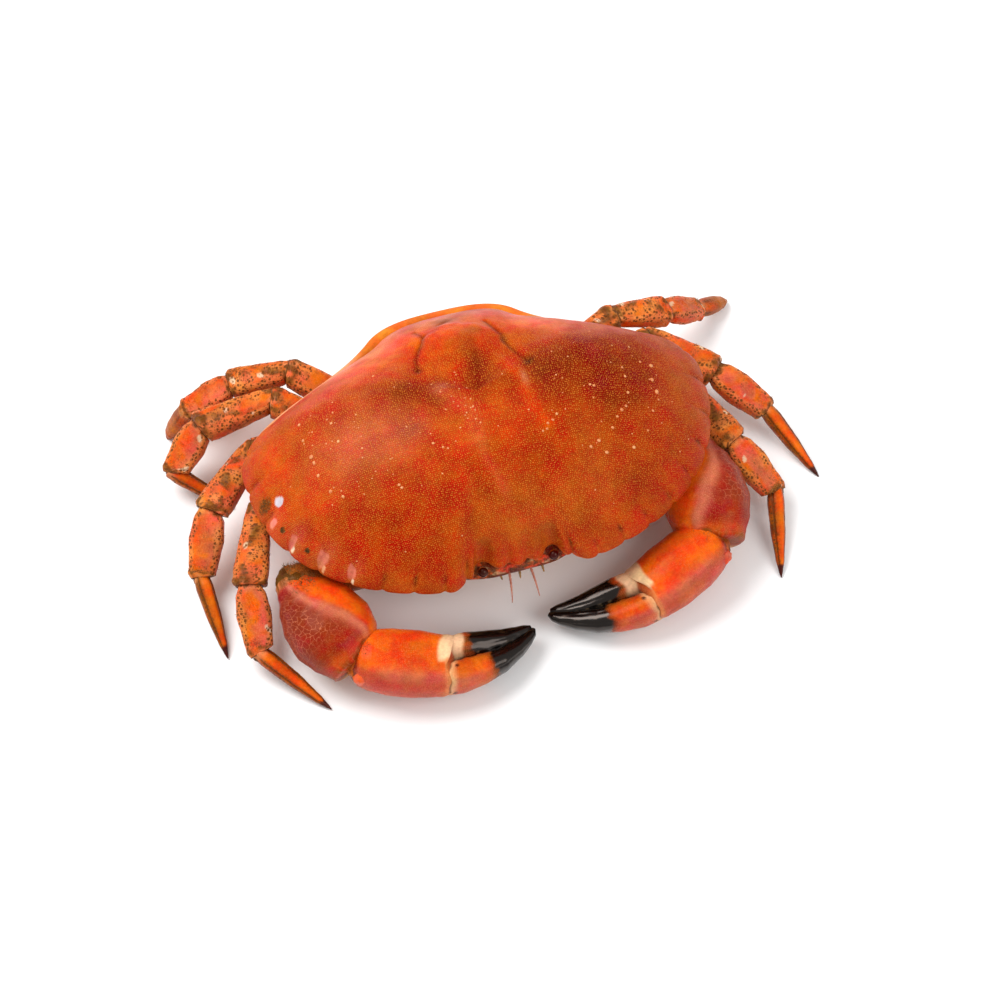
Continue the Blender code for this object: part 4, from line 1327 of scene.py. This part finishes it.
FLAP_LINE = (
    (-6.0, 0.6, 1.6), (-2.0, 0.6, 5.0), (9.0, 0.6, 9.0), (24.0, 0.6, 13.0), (36.0, 0.6, 14.0),
    (41.0, 1.9, 14.0), (43.6, 5.4, 13.8), (44.5, 12.0, 13.4), (44.6, 22.0, 12.6),
)
FLAP_SEAMS = (3.0, 11.0, 19.0, 27.0, 35.0, 43.0, 51.0)


def flap_stations():
    lengths = [0.0]
    for first, second in zip(FLAP_LINE, FLAP_LINE[1:]):
        lengths.append(lengths[-1] + math.hypot(second[0] - first[0], second[1] - first[1]))
    return lengths[-1], [(length / lengths[-1], *station) for length, station in zip(lengths, FLAP_LINE)]


FLAP_LENGTH, FLAP_SHARES = flap_stations()


def flap_place(_, turn, row):
    """Tail folded forward under the body, in plates with a seam between each two."""
    share = min(max((row - 0.02) / 0.96, 0.0), 1.0)
    y, z, wide = along_stations(FLAP_SHARES, share)
    after = along_stations(FLAP_SHARES, min(share + 0.01, 1))
    before = along_stations(FLAP_SHARES, max(share - 0.01, 0))
    lean = math.atan2(after[1] - before[1], after[0] - before[0])
    angle = 2 * math.pi * turn
    shrink = math.sin(math.pi / 2 * min(row, 1 - row) / 0.02) if min(row, 1 - row) < 0.02 else 1.0
    side = signed_power(math.cos(angle), 0.35) * wide * shrink
    out = signed_power(math.sin(angle), 0.5) * shrink
    millimetres = share * FLAP_LENGTH
    seam = max(bell(millimetres - place, 0.5) for place in FLAP_SEAMS)
    outside = -out
    thick = 0.6 - (0.25 * seam if outside > 0 and z > 0.9 else 0.12 * seam)
    patchy = ripple((side, millimetres, 0), 5, 43)
    y2 = y + math.sin(lean) * thick * outside
    z2 = z - math.cos(lean) * thick * outside
    paint = mixed(PAINT["cream"], PAINT["peach"], 0.5 + 0.5 * patchy)
    paint = mixed(paint, PAINT["amber"], 0.55 * bell(abs(side) - wide * 0.62, 2.0))
    paint = mixed(paint, PAINT["bark"], 0.6 * seam)
    point = Vector((side, y2, max(z2, 0.02)))
    return point, Vector((side, millimetres, 0)), Look(paint, 0.15, 0.25, 0.0, 0.2)


tail_flap = skin("tail_flap_crust", 72, 120, flap_place, PALE_CRUST)
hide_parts("tail_flap")


# ---------------------------------------------------------------- face

MOUTH_LEVELS = (
    (0, 11.0, 2.0, 1.0), (0.15, 13.0, 4.0, 1.6), (0.5, 19.0, 4.6, 1.8),
    (0.85, 25.0, 4.0, 1.6), (1, 28.0, 2.4, 1.1),
)


def mouth_place(outward):
    def place_at(_, turn, row):
        share = min(max((row - 0.05) / 0.9, 0.0), 1.0)
        level, wide, deep = along_stations(MOUTH_LEVELS, share)
        angle = 2 * math.pi * turn
        shrink = math.sin(math.pi / 2 * min(row, 1 - row) / 0.05) if min(row, 1 - row) < 0.05 else 1.0
        x = outward * 5.0 + wide * shrink * signed_power(math.cos(angle), 0.8)
        bulge = 0.35 * bell(abs(share - 0.62), 0.05)
        y = -31.6 + (deep - bulge) * shrink * signed_power(math.sin(angle), 0.8)
        patchy = ripple((x, y, level), 4, 45)
        paint = mixed(PAINT["peach"], PAINT["cream"], 0.5 + 0.5 * patchy)
        paint = mixed(paint, PAINT["ember"], 0.35 * smoothstep(0, 0.5, ripple((x, level, 3), 5, 46)))
        edge = bell(abs(math.cos(angle)) - 1, 0.18)
        paint = mixed(paint, PAINT["bark"], 0.45 * edge)
        return Vector((x, y, level)), Vector((angle * 3, level, 0)), Look(paint, 0.25, 0.4 * edge, 0.0, 0.2)

    return place_at


def eye_place(centre, radius):
    """Eye on its short stalk: the dark bead faces forward and out."""
    forward = Vector((0, -0.86, 0.5)).normalized()

    def place_at(_, turn, row):
        angle, rise = 2 * math.pi * turn, math.pi * row
        way = Vector((math.sin(rise) * math.cos(angle), -math.cos(rise), math.sin(rise) * math.sin(angle)))
        bead = smoothstep(-0.1, 0.12, way.dot(forward))
        size = radius * (0.9 + 0.1 * bead)
        paint = mixed(PAINT["amber"], PAINT["spot"], bead)
        return centre + way * size, Vector((angle, rise, 0)), Look(paint, 0.0, 0.0, 0.0, 0.2 + 0.45 * bead)

    return place_at


def feeler_place(root, outward, length, radius, spread_out, first_droop, last_droop):
    """Thin feeler that leaves the face forwards and curls down."""
    steps = 24
    points, ways = [Vector(root)], []
    for step in range(steps):
        droop = math.radians(first_droop + (last_droop - first_droop) * step / steps)
        way = Vector((outward * spread_out, -math.cos(droop), math.sin(droop))).normalized()
        ways.append(way)
        points.append(points[-1] + way * length / steps)
    ways.append(ways[-1])

    def place_at(_, turn, row):
        spot = row * steps
        index = min(int(spot), steps - 1)
        centre = points[index].lerp(points[index + 1], spot - index)
        way = ways[index]
        across = Vector((1, 0, 0)).cross(way).normalized()
        size = radius * (1.15 - 0.85 * row) * min(1.0, math.sqrt(min(row, 1 - row) / 0.03))
        size *= 1 + 0.12 * math.sin(row * length * 5)
        angle = 2 * math.pi * turn
        around = across * math.cos(angle) + way.cross(across) * math.sin(angle)
        return centre + around * size, Vector((angle, row * length, 0)), Look(PAINT["coral"])

    return place_at


def face_place(_, turn, row):
    """Dark wall under the front edge, between the mouth plates and the eye sockets."""
    angle, rise = 2 * math.pi * turn, math.pi * row
    x = 22.0 * -signed_power(math.cos(rise), 0.75)
    size = math.sin(rise) ** 0.6 if 0 < row < 1 else 0.0
    y = -38.2 + 6.9 * size * signed_power(math.cos(angle), 0.7)
    z = 30.2 + 4.6 * size * signed_power(math.sin(angle), 0.7)
    patchy, fine = ripple((x, y, z), 4, 47), ripple((x, y, z), 1.5, 48)
    y += 0.5 * patchy * size
    paint = mixed(PAINT["brown"], PAINT["bark"], 0.5 + patchy)
    paint = mixed(paint, PAINT["ember"], smoothstep(0.05, 0.5, fine + patchy))
    paint = mixed(paint, PAINT["cream"], 0.6 * smoothstep(0.3, 0.55, ripple((x, y, z), 2.5, 49)))
    return Vector((x, y, z)), Vector((x, angle * 5, 0)), Look(paint, 0.2, 0.5, 0.0, 0.35)


skin("face_wall", 64, 90, face_place, PALE_CRUST)

for number, (x, length, droop) in enumerate(((0.6, 6.5, -50), (8.6, 6.0, -40), (-7.0, 5.0, -30))):
    place_at = feeler_place((x, -42.5, 29.8), 1, length, 0.7, 0.1 * number, droop, -75)
    short_feeler = skin(f"short_feeler_{number + 1}", 12, 30, place_at, HAIR)

for side in ("left", "right"):
    outward = 1 if side == "left" else -1
    plate = skin(f"mouth_plate_{side}_crust", 40, 48, mouth_place(outward), PALE_CRUST)
    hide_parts(f"mouth_plate_{side}")
    low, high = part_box(f"eye_{side}")
    centre = to_shell((low + high) / 2) + Vector((0, 1.0, -0.4))
    bead = skin(f"eye_{side}_bead", 40, 28, eye_place(centre, 1.9), CLAW_CRUST)
    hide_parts(f"eye_{side}")
    feeler = skin(
        f"antenna_{side}_feeler", 12, 60,
        feeler_place((3.6 * outward + 0.6, -42.0, 29.6), outward, 14.5, 0.5, 0.1, -8, -72), FEELER,
    )
    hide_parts(f"antenna_{side}")


# ---------------------------------------------------------------- joint skins, grains and hair


def blob_place(centre, matrix, sizes, seed, first, second, pits=0.3):
    """Uneven rounded lump with its own axes."""

    def place_at(_, turn, row):
        angle, rise = 2 * math.pi * turn, math.pi * row
        way = Vector((math.cos(rise), math.sin(rise) * math.cos(angle), math.sin(rise) * math.sin(angle)))
        patchy = ripple(way * 4, 2.2, seed)
        size = 1 + 0.16 * patchy + 0.07 * ripple(way * 9, 2, seed + 1)
        point = centre + matrix @ Vector([part * reach * size for part, reach in zip(way, sizes)])
        paint = mixed(first, second, 0.5 + 0.9 * ripple(point, 2.4, seed))
        return point, Vector((angle * sizes[1], rise * sizes[0], 0)), Look(paint, 0.1, pits, 0.0, 0.3)

    return place_at


MEMBRANE = (tone(206, 164, 112), tone(150, 110, 52))


def build_joint_skins():
    """Soft skins that fill the bends of every limb, all in one mesh."""
    shape = bmesh.new()
    seed = 50
    for (side, number), joints in leg_joints.items():
        size = LEG_GIRTH[number - 1]
        for index in range(3):
            start, end = joints[index]
            if (end - joints[index + 1][0]).length > 3:
                continue
            seed += 1
            matrix = limb_frame(start, end).to_3x3()
            reach = (3.0, 4.3 - 0.6 * index, 3.2 - 0.4 * index)
            reach = [value * size for value in reach]
            place_at = blob_place(end, matrix, reach, seed, PAINT["bark"], PAINT["olive"], 0.6)
            skin_part(shape, 20, 16, place_at)
    for side, joints in claw_joints.items():
        outward = 1 if side == "left" else -1
        palm = claw_frames[side]
        turned = palm.to_3x3()
        wrist_end = joints[1][1]
        elbow = joints[0][1]
        hinge = blob_place(wrist_end, turned, (3.4, 7.4, 6.6), 90, PAINT["amber"], PAINT["bark"])
        skin_part(shape, 36, 28, hinge)
        arm = limb_frame(*joints[0]).to_3x3()
        skin_part(shape, 36, 28, blob_place(elbow, arm, (6.0, 6.6, 5.6), 92, PAINT["bark"], PAINT["olive"]))
        knob = palm @ Vector((2.4, outward * 8.2, 1.0))
        bump = blob_place(knob, turned, (2.8, 2.2, 3.2), 94, PAINT["flame"], PAINT["coral"], 0.0)
        skin_part(shape, 24, 18, bump)
    membrane = Vector((-66.0, -29.5, 23.5))
    leaning = Matrix.Rotation(0.6, 3, "Z")
    skin_part(shape, 36, 28, blob_place(membrane, leaning, (6.0, 3.6, 3.0), 96, *MEMBRANE))
    bmesh.ops.recalc_face_normals(shape, faces=shape.faces)
    return add_piece("joint_skins", shape, CLAW_CRUST)


build_joint_skins()

bpy.context.view_layer.update()


def shell_spot(x, y):
    """Point and outward direction of the shell's upper side above a place."""
    start = to_world((x, y, 90))
    hit, point, normal, _ = upper_shell.ray_cast(start, Vector((0, 0, -1)))
    return (point, normal) if hit else (None, None)


# Larger grains that stand out on the shell: x, y, size.
LARGE_GRAINS = (
    (-62.4, 17.7, 0.6), (-62.7, 10.5, 0.6), (-61.6, 3.2, 0.75), (-61.2, 0.6, 0.6), (-61.0, -4.4, 0.7),
    (-58.4, -11.4, 0.65), (-54.8, -15.0, 0.6), (-51.5, 3.7, 0.6), (-52.1, 11.5, 0.5), (-35.5, -18.5, 0.5),
    (-34.8, -19.7, 0.6), (-20.4, -8.1, 0.5), (-17.5, -10.5, 0.5), (-16.0, -11.4, 0.45), (-32.9, 26.9, 0.45),
    (63.8, 7.5, 0.75), (60.0, 8.7, 0.45), (62.3, 1.5, 0.75), (62.7, -3.2, 0.8), (52.4, 2.4, 0.55),
    (38.8, 0.3, 0.5), (40.1, -0.3, 0.5), (52.4, 6.1, 0.45), (51.6, -3.9, 0.55), (49.4, -8.7, 0.5),
    (47.5, -10.0, 0.6), (45.2, -12.3, 0.5), (59.0, -10.5, 0.6), (42.3, -16.0, 0.55), (55.0, -17.5, 0.45),
    (36.2, -19.8, 0.65), (32.8, -21.5, 0.6), (48.2, -22.9, 0.65), (37.9, -23.9, 0.6), (24.2, -8.2, 0.5),
    (22.2, -10.1, 0.5), (20.1, -11.2, 0.5), (19.3, -12.9, 0.5), (17.7, -13.4, 0.5),
)


def build_large_grains():
    """Pale grains on the shell: the ones that stand out, and many small ones near them."""
    chance = random.Random(11)
    shape = bmesh.new()
    spots = list(LARGE_GRAINS)
    for _ in range(90):
        side = chance.choice((-1, 1))
        spots.append((side * chance.gauss(47, 14), chance.gauss(0, 16), chance.uniform(0.22, 0.36)))
    for _ in range(26):
        spots.append((chance.gauss(-6, 4), chance.gauss(4, 9), chance.uniform(0.25, 0.42)))
    for x, y, size in spots:
        point, normal = shell_spot(x, y)
        if point is None:
            continue
        turned = normal.to_track_quat("Z", "Y").to_matrix().to_4x4()
        spin = Matrix.Rotation(chance.uniform(0, 6.3), 4, "Z")
        reach = size * UNIT
        stretch = Matrix.Diagonal((reach * chance.uniform(0.75, 1.25), reach, reach * 0.45, 1))
        matrix = Matrix.Translation(point) @ turned @ spin @ stretch
        bmesh.ops.create_icosphere(shape, subdivisions=2, radius=1, matrix=matrix)
    return add_piece("shell_grains", shape, CHALK)


build_large_grains()


def add_hair(shape, root, way, length, radius):
    turned = way.to_track_quat("Z", "Y").to_matrix().to_4x4()
    matrix = Matrix.Translation(root + way * length * 0.4) @ turned
    bmesh.ops.create_cone(
        shape, cap_ends=False, segments=3, radius1=radius, radius2=radius * 0.15,
        depth=length, matrix=matrix,
    )


def hair_on(piece, chance, shape, centre, reach, count, length):
    """Short hairs that stand on a piece's surface around a point, in shell millimetres."""
    for _ in range(count):
        aim = to_world(centre + Vector([chance.gauss(0, reach * 0.5) for _ in range(3)]))
        found, point, normal, _ = piece.closest_point_on_mesh(aim)
        if not found or (to_shell(point) - centre).length > reach * 1.6:
            continue
        lean = Vector([chance.gauss(0, 0.35) for _ in range(3)])
        way = (normal + lean).normalized()
        add_hair(shape, point, way, chance.uniform(0.6, 1.0) * length * UNIT, 0.11 * UNIT)


def build_hair():
    """Stubbly hair at the limb joints, on the leg ridges and in the shell's notches."""
    chance = random.Random(23)
    shape = bmesh.new()
    pieces = bpy.data.objects
    for (side, number), joints in leg_joints.items():
        for index, part in enumerate(("thigh", "knee", "shank")):
            piece = pieces[f"leg_{side}_{number}_{part}_crust"]
            end = joints[index][1]
            start = joints[index][0]
            hair_on(piece, chance, shape, end.lerp(start, 0.06) + Vector((0, 0, 3)), 4.0, 45, 1.5)
            hair_on(piece, chance, shape, start.lerp(end, 0.5) + Vector((0, 0, 5)), 7.0, 40, 1.0)
    for side, joints in claw_joints.items():
        outward = 1 if side == "left" else -1
        wrist = pieces[f"claw_{side}_wrist_crust"]
        elbow = joints[0][1]
        hair_on(wrist, chance, shape, elbow + Vector((-outward * 3, -3, 6)), 6.0, 160, 1.8)
        hair_on(pieces[f"claw_{side}_arm_crust"], chance, shape, elbow + Vector((0, 4, 6)), 7.0, 160, 1.8)
        palm = pieces[f"claw_{side}_palm_crust"]
        hair_on(palm, chance, shape, claw_frames[side] @ Vector((1.0, -outward * 2, 7)), 4.5, 90, 1.3)
    for x, y, reach in SHELL_HAIRY:
        point, _ = shell_spot(x, y)
        if point is not None:
            hair_on(upper_shell, chance, shape, to_shell(point), reach, 110, 0.9)
    for side in ("left", "right"):
        outward = 1 if side == "left" else -1
        hair_on(upper_shell, chance, shape, Vector((outward * 12.9, -42.5, 34)), 2.2, 30, 0.9)
        plate = pieces[f"mouth_plate_{side}_crust"]
        hair_on(plate, chance, shape, Vector((outward * 5, -33.5, 24)), 6.0, 120, 1.6)
    return add_piece("stubble", shape, HAIR)


build_hair()


# ---------------------------------------------------------------- stage, light and camera

floor_shape = bmesh.new()
bmesh.ops.create_grid(floor_shape, x_segments=8, y_segments=8, size=3)
floor_mesh = bpy.data.meshes.new("floor")
floor_shape.to_mesh(floor_mesh)
floor_shape.free()
floor = bpy.data.objects.new("floor", floor_mesh)
bpy.context.scene.collection.objects.link(floor)
floor_material = bpy.data.materials.new("floor_paper")
floor_material.use_nodes = True
floor_shader = floor_material.node_tree.nodes["Principled BSDF"]
floor_shader.inputs["Base Color"].default_value = (0.94, 0.94, 0.94, 1)
floor_shader.inputs["Roughness"].default_value = 0.8
floor_shader.inputs["Specular IOR Level"].default_value = 0.1
floor_mesh.materials.append(floor_material)

world = bpy.data.worlds.new("studio")
world.use_nodes = True
world.node_tree.nodes["Background"].inputs["Color"].default_value = (1, 1, 1, 1)
world.node_tree.nodes["Background"].inputs["Strength"].default_value = 0.6
bpy.context.scene.world = world


def add_light(name, place, target, size, power):
    data = bpy.data.lights.new(name, "AREA")
    data.shape = "DISK"
    data.size = size
    data.energy = power
    lamp = bpy.data.objects.new(name, data)
    lamp.location = place
    lamp.rotation_mode = "QUATERNION"
    lamp.rotation_quaternion = (Vector(target) - Vector(place)).to_track_quat("-Z", "Y")
    bpy.context.scene.collection.objects.link(lamp)
    return lamp


add_light("key", (-0.5, 0.38, 1.05), (0, 0, 0.03), 0.8, 14.0)
add_light("fill", (0.7, -0.7, 0.9), (0, 0, 0.03), 0.9, 7.3)

look_at = to_world((1.4, -16.1, 30.0))
azimuth, elevation = math.radians(-15.8), math.radians(60)
camera_distance = 1.1
back = Vector(
    (math.sin(azimuth) * math.cos(elevation), -math.cos(azimuth) * math.cos(elevation), math.sin(elevation))
)
camera_data = bpy.data.cameras.new("camera")
camera_data.sensor_width = 36
camera_data.lens = 111.24
camera_data.clip_start = 0.05
camera_data.clip_end = 20
camera = bpy.data.objects.new("camera", camera_data)
camera.location = look_at + back * camera_distance
camera.rotation_mode = "QUATERNION"
camera.rotation_quaternion = (-back).to_track_quat("-Z", "Y")
bpy.context.scene.collection.objects.link(camera)
bpy.context.scene.camera = camera
bpy.context.scene.view_settings.view_transform = "Standard"
